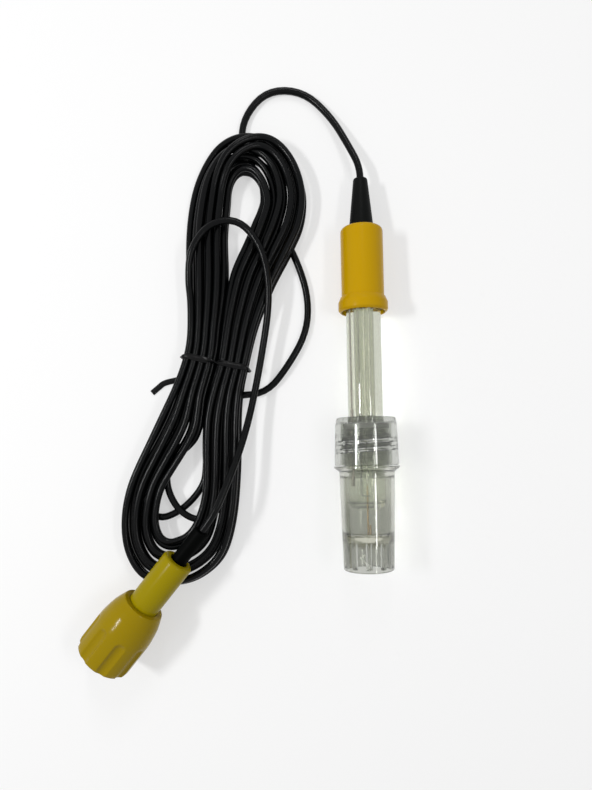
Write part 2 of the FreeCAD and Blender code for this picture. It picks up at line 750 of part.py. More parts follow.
# Bayonet ring with its two curved slots for the lugs of the jack.
bayonet_bore = size("bayonet_bore") / 2
chamber_bore = size("washer_chamber_bore") / 2
groove_bore = chamber_bore + size("clip_groove_depth")
slot_reach = bayonet_bore + size("bayonet_slot_depth")
ring_blank = turned(
    "bayonet_ring_blank",
    [
        (bayonet_bore, size("ring_front")),
        (bayonet_ring_radius, size("ring_front")),
        (bayonet_ring_radius, ring_rear),
        (chamber_bore, ring_rear),
        (chamber_bore, groove_rear),
        (groove_bore, groove_rear),
        (groove_bore, groove_front),
        (chamber_bore, groove_front),
        (chamber_bore, shoulder),
        (bayonet_bore, shoulder),
    ],
)
slot_width = float(size("bayonet_slot_width"))
slot_start = float(size("ring_front")) + float(size("bayonet_entry"))
inner_reach = float(bayonet_bore) - 0.5
outer_reach = float(slot_reach)
slot_shapes = []
for side in (0.0, 180.0):
    entry = Part.makeBox(outer_reach - inner_reach, slot_width, slot_start + 1)
    entry.translate(Vector(inner_reach, -slot_width / 2, -1))
    start_seat = Part.makeCylinder(slot_width / 2, outer_reach - inner_reach)
    start_seat.rotate(Vector(0, 0, 0), Vector(0, 1, 0), 90)
    start_seat.translate(Vector(inner_reach, 0, slot_start))
    end_seat = start_seat.copy()
    end_seat.rotate(Vector(0, 0, 0), Vector(0, 0, 1), 90)
    end_seat.translate(Vector(0, 0, float(size("bayonet_rise"))))
    curve = Part.makeHelix(4 * float(size("bayonet_rise")), float(size("bayonet_rise")), inner_reach)
    outline = Part.makePolygon(
        [
            Vector(inner_reach, 0, -slot_width / 2),
            Vector(outer_reach, 0, -slot_width / 2),
            Vector(outer_reach, 0, slot_width / 2),
            Vector(inner_reach, 0, slot_width / 2),
            Vector(inner_reach, 0, -slot_width / 2),
        ]
    )
    ramp = Part.Wire(curve.Edges).makePipeShell([outline], True, True)
    ramp.translate(Vector(0, 0, slot_start))
    slot = entry.multiFuse([start_seat, end_seat, ramp])
    slot.rotate(Vector(0, 0, 0), Vector(0, 0, 1), side)
    slot_shapes.append(slot)
bayonet_slots = doc.addObject("Part::Feature", "bayonet_slots")
bayonet_slots.Shape = Part.makeCompound(slot_shapes)
coupling_ring = cut("coupling_ring", ring_blank, bayonet_slots)
finished(coupling_ring, "coupling_ring", plug_place)

clip_blank = rod("clip_blank", groove_bore - size("clip_gap"), clip_front, clip_front + size("clip_height"))
clip_blank.Angle = 360.0 - float(size("clip_opening_deg"))
clip_bore = rod("clip_bore", barrel_radius + 0.25, clip_front - 1, clip_front + size("clip_height") + 1)
retaining_ring = cut("retaining_ring", clip_blank, clip_bore)
finished(retaining_ring, "retaining_ring", plug_place)

thrust_washer = turned(
    "thrust_washer",
    [
        (barrel_radius + 0.08, washer_front),
        (chamber_bore - 0.08, washer_front),
        (chamber_bore - 0.08, washer_rear),
        (barrel_radius + 0.08, washer_rear),
    ],
)
finished(thrust_washer, "thrust_washer", plug_place)

# Wave washer, a thin ring bent into three waves.
wave_half = (float(wave_rear) - float(wave_front) - float(size("wave_sheet"))) / 2
wave_middle = (float(wave_rear) + float(wave_front)) / 2
wave_inner = float(barrel_radius) + 0.15
wave_outer = float(chamber_bore) - 0.35
wave_radius = (wave_inner + wave_outer) / 2
wave_points = []
for step in range(36):
    angle = 2 * math.pi * step / 36
    rise = wave_half * 0.92 * math.sin(angle * float(size("wave_count")))
    wave_points.append(
        Vector(wave_radius * math.cos(angle), wave_radius * math.sin(angle), wave_middle + rise)
    )
wave_curve = Part.BSplineCurve()
wave_curve.interpolate(Points=wave_points, PeriodicFlag=True)
wave_wire = Part.Wire([wave_curve.toShape()])
half_sheet = float(size("wave_sheet")) / 2
wave_low = wave_middle - half_sheet
wave_high = wave_middle + half_sheet
wave_outline = Part.makePolygon(
    [
        Vector(wave_inner, 0, wave_low),
        Vector(wave_outer, 0, wave_low),
        Vector(wave_outer, 0, wave_high),
        Vector(wave_inner, 0, wave_high),
        Vector(wave_inner, 0, wave_low),
    ]
)
wave_sweep = Part.BRepOffsetAPI.MakePipeShell(wave_wire)
wave_sweep.setBiNormalMode(Vector(0, 0, 1))
wave_sweep.add(wave_outline)
wave_sweep.build()
wave_sweep.makeSolid()
wave_shape = wave_sweep.shape()
wave_washer = doc.addObject("Part::Feature", "wave_washer")
wave_washer.Shape = wave_shape
finished(wave_washer, "wave_washer", plug_place)

# Yellow cover pressed over the bayonet ring, with flutes over its grip.
cover_bore = bayonet_ring_radius + size("glue_gap")
cover_rear_bore = handle_radius + size("neck_gap")
cover_blank = turned(
    "cover_blank",
    [
        (size("cover_mouth_bore") / 2, 0),
        (size("cover_mouth_diameter") / 2, 0),
        (cover_radius, size("cover_mouth_bevel")),
        (cover_radius, size("cover_straight")),
        (size("cover_dome_diameter") / 2, size("cover_dome_station")),
        (size("cover_shoulder_diameter") / 2, size("cover_length")),
        (cover_rear_bore, size("cover_length")),
        (cover_rear_bore, ring_rear),
        (cover_bore, ring_rear),
        (cover_bore, size("ring_front")),
        (size("cover_mouth_bore") / 2, size("ring_front")),
    ],
    [
        (cover_radius, size("cover_straight"), size("cover_dome_round")),
        (size("cover_dome_diameter") / 2, size("cover_dome_station"), size("cover_dome_round")),
    ],
)
flute_radius = size("flute_diameter") / 2
flute_pitch = float(cover_radius) + float(flute_radius) - float(size("flute_depth"))
flutes = []
for degrees, x, y in around(float(size("flute_count")), flute_pitch, 22.5):
    flutes.append(rod("flute_%d" % int(degrees), flute_radius, -1, size("flute_length"), x=x, y=y))
    flute_end = doc.addObject("Part::Sphere", "flute_end_%d" % int(degrees))
    bind(flute_end, "Radius", flute_radius)
    flute_end.Placement.Base = Vector(x, y, float(size("flute_length")))
    flutes.append(flute_end)
coupling_cover = cut("coupling_cover", cover_blank, joined("flutes", flutes))
finished(coupling_cover, "coupling_cover", plug_place)

barrel_seat = barrel_radius + size("glue_gap")
handle_bore = size("handle_bore") / 2
sleeve_radius = size("sleeve_diameter") / 2
sleeve_bore = sleeve_radius + size("glue_gap")
plug_neck = turned(
    "plug_neck",
    [
        (barrel_seat, size("handle_front")),
        (handle_radius, size("handle_front")),
        (handle_radius, size("handle_rear")),
        (sleeve_radius + size("sleeve_recess") / 2, size("handle_rear")),
        (sleeve_radius + size("sleeve_recess") / 2, size("handle_rear") - size("sleeve_recess")),
        (sleeve_bore, size("handle_rear") - size("sleeve_recess")),
        (sleeve_bore, sleeve_front),
        (handle_bore, sleeve_front),
        (handle_bore, barrel_rear),
        (barrel_seat, barrel_rear),
    ],
    [(handle_radius, size("handle_rear"), size("handle_round"))],
)
finished(plug_neck, "plug_neck", plug_place)

crimp_ferrule = turned(
    "crimp_ferrule",
    [
        (spigot_radius, barrel_rear),
        (spigot_radius + size("ferrule_wall"), barrel_rear),
        (spigot_radius + size("ferrule_wall"), barrel_rear + size("ferrule_length")),
        (spigot_radius, barrel_rear + size("ferrule_length")),
    ],
)
finished(crimp_ferrule, "crimp_ferrule", plug_place)

relief_sleeve = turned(
    "relief_sleeve",
    [
        (cable_radius, sleeve_front),
        (sleeve_radius, sleeve_front),
        (sleeve_radius, sleeve_rear),
        (cable_radius, sleeve_rear),
    ],
    [(sleeve_radius, sleeve_rear, size("sleeve_round"))],
)
finished(relief_sleeve, "relief_sleeve", plug_place)

core_radius = 0.75
cable_plug_end = turned(
    "cable_plug_end",
    [
        (0, size("insulator_rear")),
        (core_radius, size("insulator_rear")),
        (core_radius, spigot_rear),
        (cable_radius, spigot_rear),
        (cable_radius, sleeve_rear),
        (0, sleeve_rear),
    ],
)
finished(cable_plug_end, "cable_plug_end", plug_place)


# Free stretches of the lead: straight runs joined by arcs that are tangent to both runs.
def tube(name, route):
    points = [Vector(*point) for point in route]
    edges = []
    length = 0.0
    smallest = None
    start = points[0]
    for before, corner, after in zip(points, points[1:], points[2:]):
        run_in = corner - before
        run_out = after - corner
        turn = run_in.getAngle(run_out)
        reach = 0.45 * min(run_in.Length, run_out.Length)
        bend = reach / math.tan(turn / 2)
        way_in = Vector(run_in).normalize()
        way_out = Vector(run_out).normalize()
        arc_start = corner - way_in * reach
        arc_end = corner + way_out * reach
        inward = (way_out - way_in).normalize()
        arc_middle = corner + inward * (bend / math.cos(turn / 2) - bend)
        edges.append(Part.LineSegment(start, arc_start).toShape())
        edges.append(Part.Arc(arc_start, arc_middle, arc_end).toShape())
        length += (arc_start - start).Length + bend * turn
        smallest = bend if smallest is None else min(smallest, bend)
        print("%s bend radius %.1f turn %.0f deg" % (name, bend, math.degrees(turn)))
        start = arc_end
    edges.append(Part.LineSegment(start, points[-1]).toShape())
    length += (points[-1] - start).Length
    radius = float(cable_radius)
    section = Part.Wire([Part.Circle(points[0], points[1] - points[0], radius).toShape()])
    shape = Part.Wire(edges).makePipeShell([section], True, False)
    expected = math.pi * radius * radius * length
    print("%s length %.1f volume over section times length %.4f" % (name, length, shape.Volume / expected))
    feature = doc.addObject("Part::Feature", name)
    feature.Shape = shape
    finished(feature, name, Placement())
    return feature


boot_end = electrode_place.multVec(Vector(0, 0, float(boot_top)))
boot_way = electrode_place.Rotation.multVec(Vector(0, 0, 1))
sleeve_end = plug_place.multVec(Vector(0, 0, float(sleeve_rear)))
boot_run = boot_end + boot_way * 4.3
sleeve_run = sleeve_end + plug_direction * 6.5

cable_lead = tube(
    "cable_lead",
    [
        tuple(boot_end),
        tuple(boot_run),
        (-3.2, 79.8, 4.8),
        (-9.6, 92.6, 2.0),
        (-19.5, 102.3, 1.3),
        (-32.5, 102.8, 1.3),
        (-41.0, 93.3, 1.3),
        (-42.2, 82.5, 1.3),
    ],
)
cable_side_loop = tube(
    "cable_side_loop",
    [
        (-28.5, 52.0, 1.3),
        (-23.0, 42.0, 1.3),
        (-18.8, 28.5, 1.3),
        (-19.5, 15.5, 1.3),
        (-26.5, 3.3, 1.3),
        (-34.6, -6.5, 1.3),
        (-46.4, -6.9, 1.3),
    ],
)
cable_tail = tube(
    "cable_tail",
    [
        (-61.2, 34.0, 6.0),
        (-60.0, 44.0, 8.4),
        (-53.0, 52.9, 9.2),
        (-42.9, 54.0, 9.2),
        (-35.7, 45.6, 9.3),
        (-32.8, 34.5, 9.1),
        (-33.0, 22.5, 7.4),
        (-35.2, 9.8, 6.4),
        (-37.8, -3.6, 6.5),
        (-40.7, -16.4, 7.8),
        (-43.8, -27.0, 10.5),
        (-47.8, -37.6, 14.2),
        tuple(sleeve_run),
        tuple(sleeve_end),
    ],
)

# Twist tie round the waist of the hank: a flat band, and the loose end on the table.
tie_left = Vector(-63.4, 7.0, 0)
tie_right = Vector(-40.8, 2.3, 0)
tie_sheet = float(size("tie_sheet"))
tie_width = float(size("tie_width"))
tie_span = (tie_right - tie_left).Length
tie_turn = math.degrees(math.atan2(tie_right.y - tie_left.y, tie_right.x - tie_left.x))
band_outer = doc.addObject("Part::Box", "tie_band_outer")
band_outer.Length = tie_span
bind(band_outer, "Width", size("tie_width"))
bind(band_outer, "Height", size("hank_height") + size("tie_sheet"))
band_inner = doc.addObject("Part::Box", "tie_band_inner")
band_inner.Length = tie_span - 2 * tie_sheet
bind(band_inner, "Width", size("tie_width") * 3)
bind(band_inner, "Height", size("hank_height") - size("tie_sheet"))
band_place = Placement(tie_left, Rotation(Vector(0, 0, 1), tie_turn))
band_outer.Placement = band_place.multiply(Placement(Vector(0, -tie_width / 2, 0), Rotation()))
band_inner.Placement = band_place.multiply(Placement(Vector(tie_sheet, -tie_width * 1.5, tie_sheet), Rotation()))
tie_band = cut("tie_band", band_outer, band_inner)
loose_end = [(-52.5, 4.7), (-59.0, 2.4), (-65.0, -0.4), (-71.1, -1.8), (-75.9, -5.5)]
tie_pieces = [tie_band]
for number, (here, there) in enumerate(zip(loose_end, loose_end[1:])):
    strip = doc.addObject("Part::Box", "tie_strip_%d" % number)
    strip.Length = math.hypot(there[0] - here[0], there[1] - here[1])
    bind(strip, "Width", size("tie_width"))
    bind(strip, "Height", size("tie_sheet"))
    heading = math.degrees(math.atan2(there[1] - here[1], there[0] - here[0]))
    strip.Placement = Placement(Vector(here[0], here[1], 0), Rotation(Vector(0, 0, 1), heading)).multiply(
        Placement(Vector(0, -tie_width / 2, 0), Rotation())
    )
    tie_pieces.append(strip)
for number, place in enumerate(loose_end[1:-1]):
    bend = doc.addObject("Part::Cylinder", "tie_bend_%d" % number)
    bind(bend, "Radius", size("tie_width") / 2)
    bind(bend, "Height", size("tie_sheet"))
    bend.Placement.Base = Vector(place[0], place[1], 0)
    tie_pieces.append(bend)
twist_tie = joined("twist_tie", tie_pieces)
finished(twist_tie, "twist_tie", Placement())
doc.recompute()

# Hank: the outer shape of the thirteen turns, with an eye on each side of the waist.
hank_edge = [
    (-63.1, 6.3), (-62.1, 10.2), (-61.7, 14.9), (-62.3, 27.4), (-62.8, 41.0), (-62.2, 52.5),
    (-60.6, 63.2), (-56.8, 73.8), (-51.3, 81.6), (-44.1, 85.8), (-36.9, 87.4), (-29.8, 85.5),
    (-23.8, 80.4), (-19.3, 71.4), (-18.0, 62.4), (-18.9, 53.5), (-21.6, 47.3), (-25.2, 41.6),
    (-29.7, 33.6), (-33.4, 25.5), (-37.9, 14.5), (-40.7, 7.2), (-42.0, 1.8), (-43.0, -4.6),
    (-43.4, -19.4), (-43.6, -30.2), (-44.5, -40.9), (-46.2, -55.1), (-49.2, -64.0),
    (-54.0, -69.3), (-59.4, -73.5), (-65.5, -75.2), (-73.8, -75.0), (-79.1, -73.5),
    (-83.3, -68.8), (-86.7, -59.8), (-86.9, -49.1), (-83.8, -36.6), (-78.2, -24.2),
    (-70.7, -8.2), (-68.1, -4.5), (-65.1, 0.6),
]
top_eye = [
    (-41.1, 71.8), (-36.6, 65.6), (-35.5, 60.2), (-36.4, 54.9), (-39.4, 48.5), (-43.1, 41.4),
    (-46.0, 37.6), (-47.2, 48.6), (-46.7, 57.5), (-45.4, 64.5),
]
bottom_eye = [
    (-57.4, -18.5), (-57.1, -24.5), (-57.4, -37.1), (-59.8, -48.3), (-64.5, -54.8),
    (-70.0, -57.2), (-72.6, -51.0), (-70.6, -39.7), (-65.8, -29.8),
]


def prism(outline, low, high):
    corners = [Vector(x, y, low) for x, y in outline]
    face = Part.Face(Part.makePolygon(corners + corners[:1]))
    return face.extrude(Vector(0, 0, high - low))


hank_height = float(size("hank_height"))
hank_solid = prism(hank_edge, 0, hank_height)
for eye in (top_eye, bottom_eye):
    hank_solid = hank_solid.cut(prism(eye, -1, hank_height + 1))
top_edges = [edge for edge in hank_solid.Edges if abs(edge.BoundBox.ZMin - hank_height) < 1e-6]
hank_solid = hank_solid.makeChamfer(float(size("hank_chamfer")), top_edges)
hank_solid = hank_solid.cut(twist_tie.Shape)
cable_hank = doc.addObject("Part::Feature", "cable_hank")
cable_hank.Shape = hank_solid
finished(cable_hank, "cable_hank", Placement())

doc.recompute()

os.makedirs("parts", exist_ok=True)
for thing in doc.Objects:
    state = [word for word in thing.State if word in ("Invalid", "Error")]
    if state:
        raise RuntimeError("%s is in state %s" % (thing.Label, state))
for thing in NODES:
    shape = thing.Shape
    if shape.isNull() or not shape.isValid():
        raise RuntimeError("%s has no valid shape" % thing.Label)
    if len(shape.Solids) != 1:
        raise RuntimeError("%s has %d solids" % (thing.Label, len(shape.Solids)))
    box = shape.BoundBox
    print(
        "%-18s volume %9.2f x %.2f..%.2f y %.2f..%.2f z %.2f..%.2f"
        % (thing.Label, shape.Volume, box.XMin, box.XMax, box.YMin, box.YMax, box.ZMin, box.ZMax)
    )
    shape.exportStep("parts/%s.step" % thing.Label)
print("%d pieces, leaning %.3f degrees" % (len(NODES), math.degrees(lean)))
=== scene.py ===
import json
import math

import bmesh
import bpy
import numpy as np
from mathutils import Matrix, Vector


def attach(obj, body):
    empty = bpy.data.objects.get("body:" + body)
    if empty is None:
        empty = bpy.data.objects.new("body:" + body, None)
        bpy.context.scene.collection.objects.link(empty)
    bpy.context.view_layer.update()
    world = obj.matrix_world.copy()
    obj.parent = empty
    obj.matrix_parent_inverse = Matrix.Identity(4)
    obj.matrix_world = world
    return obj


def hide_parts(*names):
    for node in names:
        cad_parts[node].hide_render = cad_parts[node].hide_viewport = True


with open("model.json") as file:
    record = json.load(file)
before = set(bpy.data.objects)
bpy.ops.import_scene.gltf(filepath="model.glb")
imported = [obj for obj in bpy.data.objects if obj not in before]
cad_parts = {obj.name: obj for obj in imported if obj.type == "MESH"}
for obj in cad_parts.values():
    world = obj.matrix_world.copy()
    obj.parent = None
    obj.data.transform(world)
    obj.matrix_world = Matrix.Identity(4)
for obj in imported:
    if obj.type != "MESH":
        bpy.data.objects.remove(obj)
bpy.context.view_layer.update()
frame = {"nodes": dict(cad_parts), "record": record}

# The photograph is taken straight down from about 220 mm over the table, a little to the left
# of the electrode and turned by one degree.
camera_data = bpy.data.cameras.new("overhead_camera")
camera_data.lens = 27.65
camera_data.sensor_width = 36
camera_data.shift_y = 0.038
camera_data.clip_start = 0.005
camera = bpy.data.objects.new("overhead_camera", camera_data)
camera.location = (-0.0241, -0.01798, 0.220)
camera.rotation_euler = (0, 0, math.radians(-1.02))
bpy.context.scene.collection.objects.link(camera)
bpy.context.scene.camera = camera
bpy.context.scene.view_settings.view_transform = "Standard"

# Black lead, a flexible coaxial cable with a satin PVC jacket of 2.5 mm. It runs from the boot
# under the top of the hank, makes thirteen loose turns and ends in the plug's black sleeve.
LEAD_DIAMETER = 0.0025
strand = LEAD_DIAMETER * 1000

boot_lead = [
    (0, 68.13, 6.53), (0, 72.43, 6.33), (-3.2, 79.8, 4.8), (-9.6, 92.6, 2.0), (-19.5, 102.3, 1.3),
    (-32.5, 102.8, 1.3), (-41.0, 93.3, 1.3), (-42.2, 82.5, 1.3), (-38.6, 75.5, 1.3), (-32.5, 67.0, 1.3),
]
side_loop = [
    (-28.5, 52.0, 1.3), (-23.0, 42.0, 1.3), (-18.8, 28.5, 1.3), (-19.5, 15.5, 1.3), (-26.5, 3.3, 1.3),
    (-34.6, -6.5, 1.3), (-46.4, -6.9, 1.3), (-50.8, -11.0, 1.3),
]
plug_tail = [
    (-61.2, 34.0, 6.0), (-60.0, 44.0, 8.4), (-53.0, 52.9, 9.2), (-42.9, 54.0, 9.2), (-35.7, 45.6, 9.3),
    (-32.8, 34.5, 9.1), (-33.0, 22.5, 7.4), (-35.2, 9.8, 6.4), (-37.8, -3.6, 6.5), (-40.7, -16.4, 7.8),
    (-43.8, -27.0, 10.5), (-47.8, -37.6, 14.2), (-52.3, -48.1, 16.7), (-56.39, -53.12, 16.02),
]

# Once round the hank from the right side of its top eye: the outer edge and the inner edge of
# the bundle, and how much the tie squeezes it there.
hank_round = [
    (-19.5, 53.5, -39.0, 54.5, 0.0), (-22.3, 47.3, -40.8, 49.8, 0.0), (-25.2, 41.6, -42.9, 45.2, 0.0),
    (-29.7, 33.6, -46.6, 37.6, 0.1), (-33.4, 25.5, -48.6, 29.4, 0.35), (-37.3, 16.0, -50.3, 18.5, 0.7),
    (-41.0, 2.4, -52.1, 4.65, 1.0), (-42.9, -6.5, -55.0, -6.5, 0.7), (-43.4, -16.0, -57.0, -16.0, 0.25),
    (-43.5, -27.0, -57.3, -26.5, 0.0), (-44.2, -38.5, -57.2, -38.5, 0.0), (-45.7, -51.5, -58.4, -46.0, 0.0),
    (-49.2, -64.0, -60.6, -51.6, 0.0), (-55.6, -71.0, -63.6, -55.2, 0.0), (-64.0, -75.0, -66.6, -56.6, 0.0),
    (-74.0, -75.0, -69.2, -57.2, 0.0), (-81.5, -71.2, -72.0, -55.4, 0.0), (-86.3, -61.5, -73.3, -50.6, 0.0),
    (-86.9, -49.1, -72.5, -44.5, 0.0), (-84.0, -37.0, -70.0, -37.8, 0.0), (-78.2, -24.2, -63.5, -28.7, 0.0),
    (-72.4, -12.0, -57.6, -19.6, 0.2), (-67.5, -3.5, -56.0, -7.5, 0.6), (-63.3, 7.0, -52.1, 4.65, 1.0),
    (-61.9, 16.0, -49.8, 16.5, 0.7), (-62.2, 27.0, -47.8, 28.0, 0.3), (-62.6, 38.0, -47.0, 39.0, 0.0),
    (-62.3, 51.0, -47.2, 50.0, 0.0), (-60.4, 64.0, -46.0, 61.0, 0.0), (-56.6, 74.2, -45.7, 66.2, 0.0),
    (-50.6, 82.8, -44.2, 69.8, 0.0), (-42.5, 87.0, -41.6, 71.3, 0.0), (-34.0, 87.3, -38.9, 69.9, 0.0),
    (-26.6, 83.2, -37.2, 66.8, 0.0), (-21.0, 75.5, -36.6, 63.5, 0.0), (-18.1, 64.5, -36.6, 59.5, 0.0),
]
# The rows of that list where the side loop and the short turns join, and where the tail leaves.
WAIST_RIGHT = 8
LOWER_RIGHT = 10
LOWER_LEFT = 20
TAIL_STATION = 26

# Each turn's layer and lane, counted from the outside. Two short turns cut across the lower eye.
turn_lanes = [
    (0, 4), (0, 3), (0, 2), (0, 1), (0, 0), (1, 0), (1, 1), (1, 2), (1, 3), (2, 3), (2, 1), (2, 2), (2, 0),
]
SIDE_LOOP_TURN = 1
LOW_SHORT_TURN = 0
HIGH_SHORT_TURN = 8
low_short_cut = [
    (-57.0, -38.0, 1.3), (-61.0, -43.4, 1.3), (-66.4, -47.7, 1.3), (-72.7, -49.6, 1.4),
    (-78.2, -45.5, 1.4), (-78.2, -37.5, 1.4), (-75.0, -29.5, 1.4),
]
high_short_cut = [
    (-50.5, -39.0, 3.7), (-51.8, -47.5, 3.7), (-56.8, -51.8, 3.7), (-62.9, -50.9, 3.8),
    (-68.3, -46.0, 3.8), (-71.2, -38.0, 3.7), (-69.6, -30.0, 3.7),
]


def lane_share(layer, lane, squeeze):
    """How far across the bundle a lane lies, from 0 at its outer edge to 1 at its inner edge."""
    loose = 0.09 + 0.82 * lane / 4 if layer == 0 else 0.13 + 0.13 * (layer == 1) + 0.72 * lane / 3.4
    tied = (1.25 + 1.25 * (layer == 1) + 2.5 * lane) / 11.4
    return loose + (tied - loose) * squeeze


def lane_height(layer, squeeze):
    """The height of a layer over the table. At the tie the layers are pressed on the strip."""
    loose = strand * (0.5 + layer)
    tied = 1.9 + 2.16 * layer
    return loose + (tied - loose) * squeeze


def midway(rows):
    """The rows with one more between each pair, on a smooth line through them."""
    ring = np.array(rows, float)
    between = (9 * (ring + np.roll(ring, -1, 0)) - np.roll(ring, 1, 0) - np.roll(ring, -2, 0)) / 16
    return np.stack([ring, between], 1).reshape(-1, ring.shape[1])


fine_round = midway(hank_round)
STEPS = len(fine_round)
# How far round the hank the end of its lower eye lies, and how unevenly the strands run.
LOWER_EYE = 0.417
LOOSENESS = 0.012


def turn_point(turn, step):
    """One point of a turn. Over the hank's top it moves to the next turn's lane, and a turn that
    goes outwards by two lanes or more crosses over the others there."""
    outer_x, outer_y, inner_x, inner_y, squeeze = fine_round[step]
    layer, lane = turn_lanes[turn]
    next_layer, next_lane = turn_lanes[min(turn + 1, len(turn_lanes) - 1)]
    crosses_over = next_lane < lane - 1
    start, length = (0.775, 0.14) if crosses_over else (0.78, 0.22)
    way_round = step / STEPS
    change = min(max((way_round - start) / length, 0), 1)
    change = change * change * (3 - 2 * change)
    share = lane_share(layer, lane, squeeze)
    share += (lane_share(next_layer, next_lane, squeeze) - share) * change
    height = lane_height(layer, squeeze)
    height += (lane_height(next_layer, squeeze) - height) * change
    if crosses_over:
        height += strand * math.sin(math.pi * change)
        share += 0.14 * math.sin(math.pi * change)
    # the two short turns leave room at the lower eye, and the others move in there
    share *= 1 + 0.2 * math.sqrt(max(math.cos(2 * math.pi * (way_round - LOWER_EYE)), 0))
    waves = 2 * math.pi * step / STEPS * (2 + turn % 3)
    share += LOOSENESS * math.sin(2.4 * (turn + change) + waves) * (1 - squeeze)
    share = min(max(share, 0.07), 0.93)
    return (outer_x + (inner_x - outer_x) * share, outer_y + (inner_y - outer_y) * share, height)


route = [(point, 0) for point in boot_lead]
for turn in range(len(turn_lanes)):
    last_turn = turn == len(turn_lanes) - 1
    step = 0
    while step < (TAIL_STATION * 2 - 1 if last_turn else STEPS):
        if turn == SIDE_LOOP_TURN and step == 0:
            route += [(point, 0) for point in side_loop]
            step = WAIST_RIGHT * 2 + 2
        elif turn in (LOW_SHORT_TURN, HIGH_SHORT_TURN) and step == LOWER_RIGHT * 2:
            short_cut = low_short_cut if turn == LOW_SHORT_TURN else high_short_cut
            route += [(point, 1) for point in short_cut]
            step = LOWER_LEFT * 2 + 1
        else:
            route.append((turn_point(turn, step), 1))
            step += 1
route += [(point, 0) for point in plug_tail]

# The turns settle: strands that would share a place push each other aside, as they do on a table.
# At the tie they lie on its strip. None rises far over its planned height, so the bundle stays flat.
SETTLE_SWEEPS = 160
PUSH = 0.4
SMOOTHING = 0.45
HOMING = 0.03
BESIDE = 0.62
CLEARANCE = strand * 1.01
LAYERS_TOP = 6.3
tie_middle = (-52.1, 4.65)
TIE_SLOPE = -0.208
planned = np.array([point for point, loose in route], float)
loose = np.array([loose for point, loose in route], float)
lie = planned.copy()
count = len(lie)
order = np.arange(count)
apart = np.abs(order[:, None] - order[None, :]) > 4
tie_line = np.abs(lie[:, 1] - tie_middle[1] - TIE_SLOPE * (lie[:, 0] - tie_middle[0])) < 4
lowest = np.where(tie_line, 1.9, strand / 2 + 0.02)
highest = np.where(loose > 0, np.maximum(planned[:, 2], LAYERS_TOP) + 0.2, 1e3)
for sweep in range(SETTLE_SWEEPS):
    along = np.gradient(lie, axis=0)
    spacing = np.linalg.norm(along, axis=1)
    along /= spacing[:, None]
    gap = lie[:, None, :] - lie[None, :, :]
    shift = np.einsum("ijk,ik->ij", gap, along)
    across = gap - shift[:, :, None] * along[:, None, :]
    distance = np.linalg.norm(across, axis=2) + 1e-6
    clash = apart & (distance < CLEARANCE) & (np.abs(shift) < BESIDE * spacing[:, None])
    push = np.where(clash, (CLEARANCE - distance) / distance * PUSH, 0)
    move = np.einsum("ij,ijk->ik", push, across)
    home = planned - lie
    smooth = np.zeros_like(lie)
    smooth[1:-1] = home[1:-1] - (home[2:] + home[:-2]) / 2
    lie += (move + smooth * SMOOTHING + home * HOMING) * loose[:, None]
    lie[:, 2] = np.clip(lie[:, 2], lowest, highest)

lead_curve = bpy.data.curves.new("lead", "CURVE")
lead_curve.dimensions = "3D"
lead_line = lead_curve.splines.new("NURBS")
lead_line.points.add(count - 1)
# the curve's box grows by each point's radius, so that one holds the lead's and the bevel is 1
for spot, (x, y, z) in zip(lead_line.points, lie / 1000):
    spot.co = (x, y, z, 1)
    spot.radius = LEAD_DIAMETER / 2
lead_line.order_u = 3
lead_line.use_endpoint_u = True
lead_line.resolution_u = 5
lead_curve.bevel_depth = 1
lead_curve.bevel_resolution = 4
lead_curve.use_fill_caps = True
lead = bpy.data.objects.new("lead", lead_curve)
bpy.context.scene.collection.objects.link(lead)
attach(lead, "electrode")
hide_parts("cable_lead", "cable_side_loop", "cable_hank", "cable_tail")

lead_material = bpy.data.materials.new("satin_black_jacket")
lead_material.use_nodes = True
jacket = lead_material.node_tree.nodes["Principled BSDF"]
jacket.inputs["Base Color"].default_value = (0.002, 0.0023, 0.0026, 1)
jacket.inputs["Roughness"].default_value = 0.2
jacket.inputs["Specular IOR Level"].default_value = 0.1
grain = lead_material.node_tree.nodes.new("ShaderNodeTexNoise")
grain.inputs["Scale"].default_value = 2500
grain_bump = lead_material.node_tree.nodes.new("ShaderNodeBump")
grain_bump.inputs["Strength"].default_value = 0.08
grain_bump.inputs["Distance"].default_value = 0.0002
lead_material.node_tree.links.new(grain.outputs["Fac"], grain_bump.inputs["Height"])
lead_material.node_tree.links.new(grain_bump.outputs["Normal"], jacket.inputs["Normal"])
lead_curve.materials.append(lead_material)
for name in ("cable_boot_end", "cable_plug_end"):
    frame["nodes"][name].data.materials.clear()
    frame["nodes"][name].data.materials.append(lead_material)

# Twist tie that holds the hank at its waist, a black plastic strip over a soft iron wire.
# It goes once round the strands, and one end is left loose on the table.


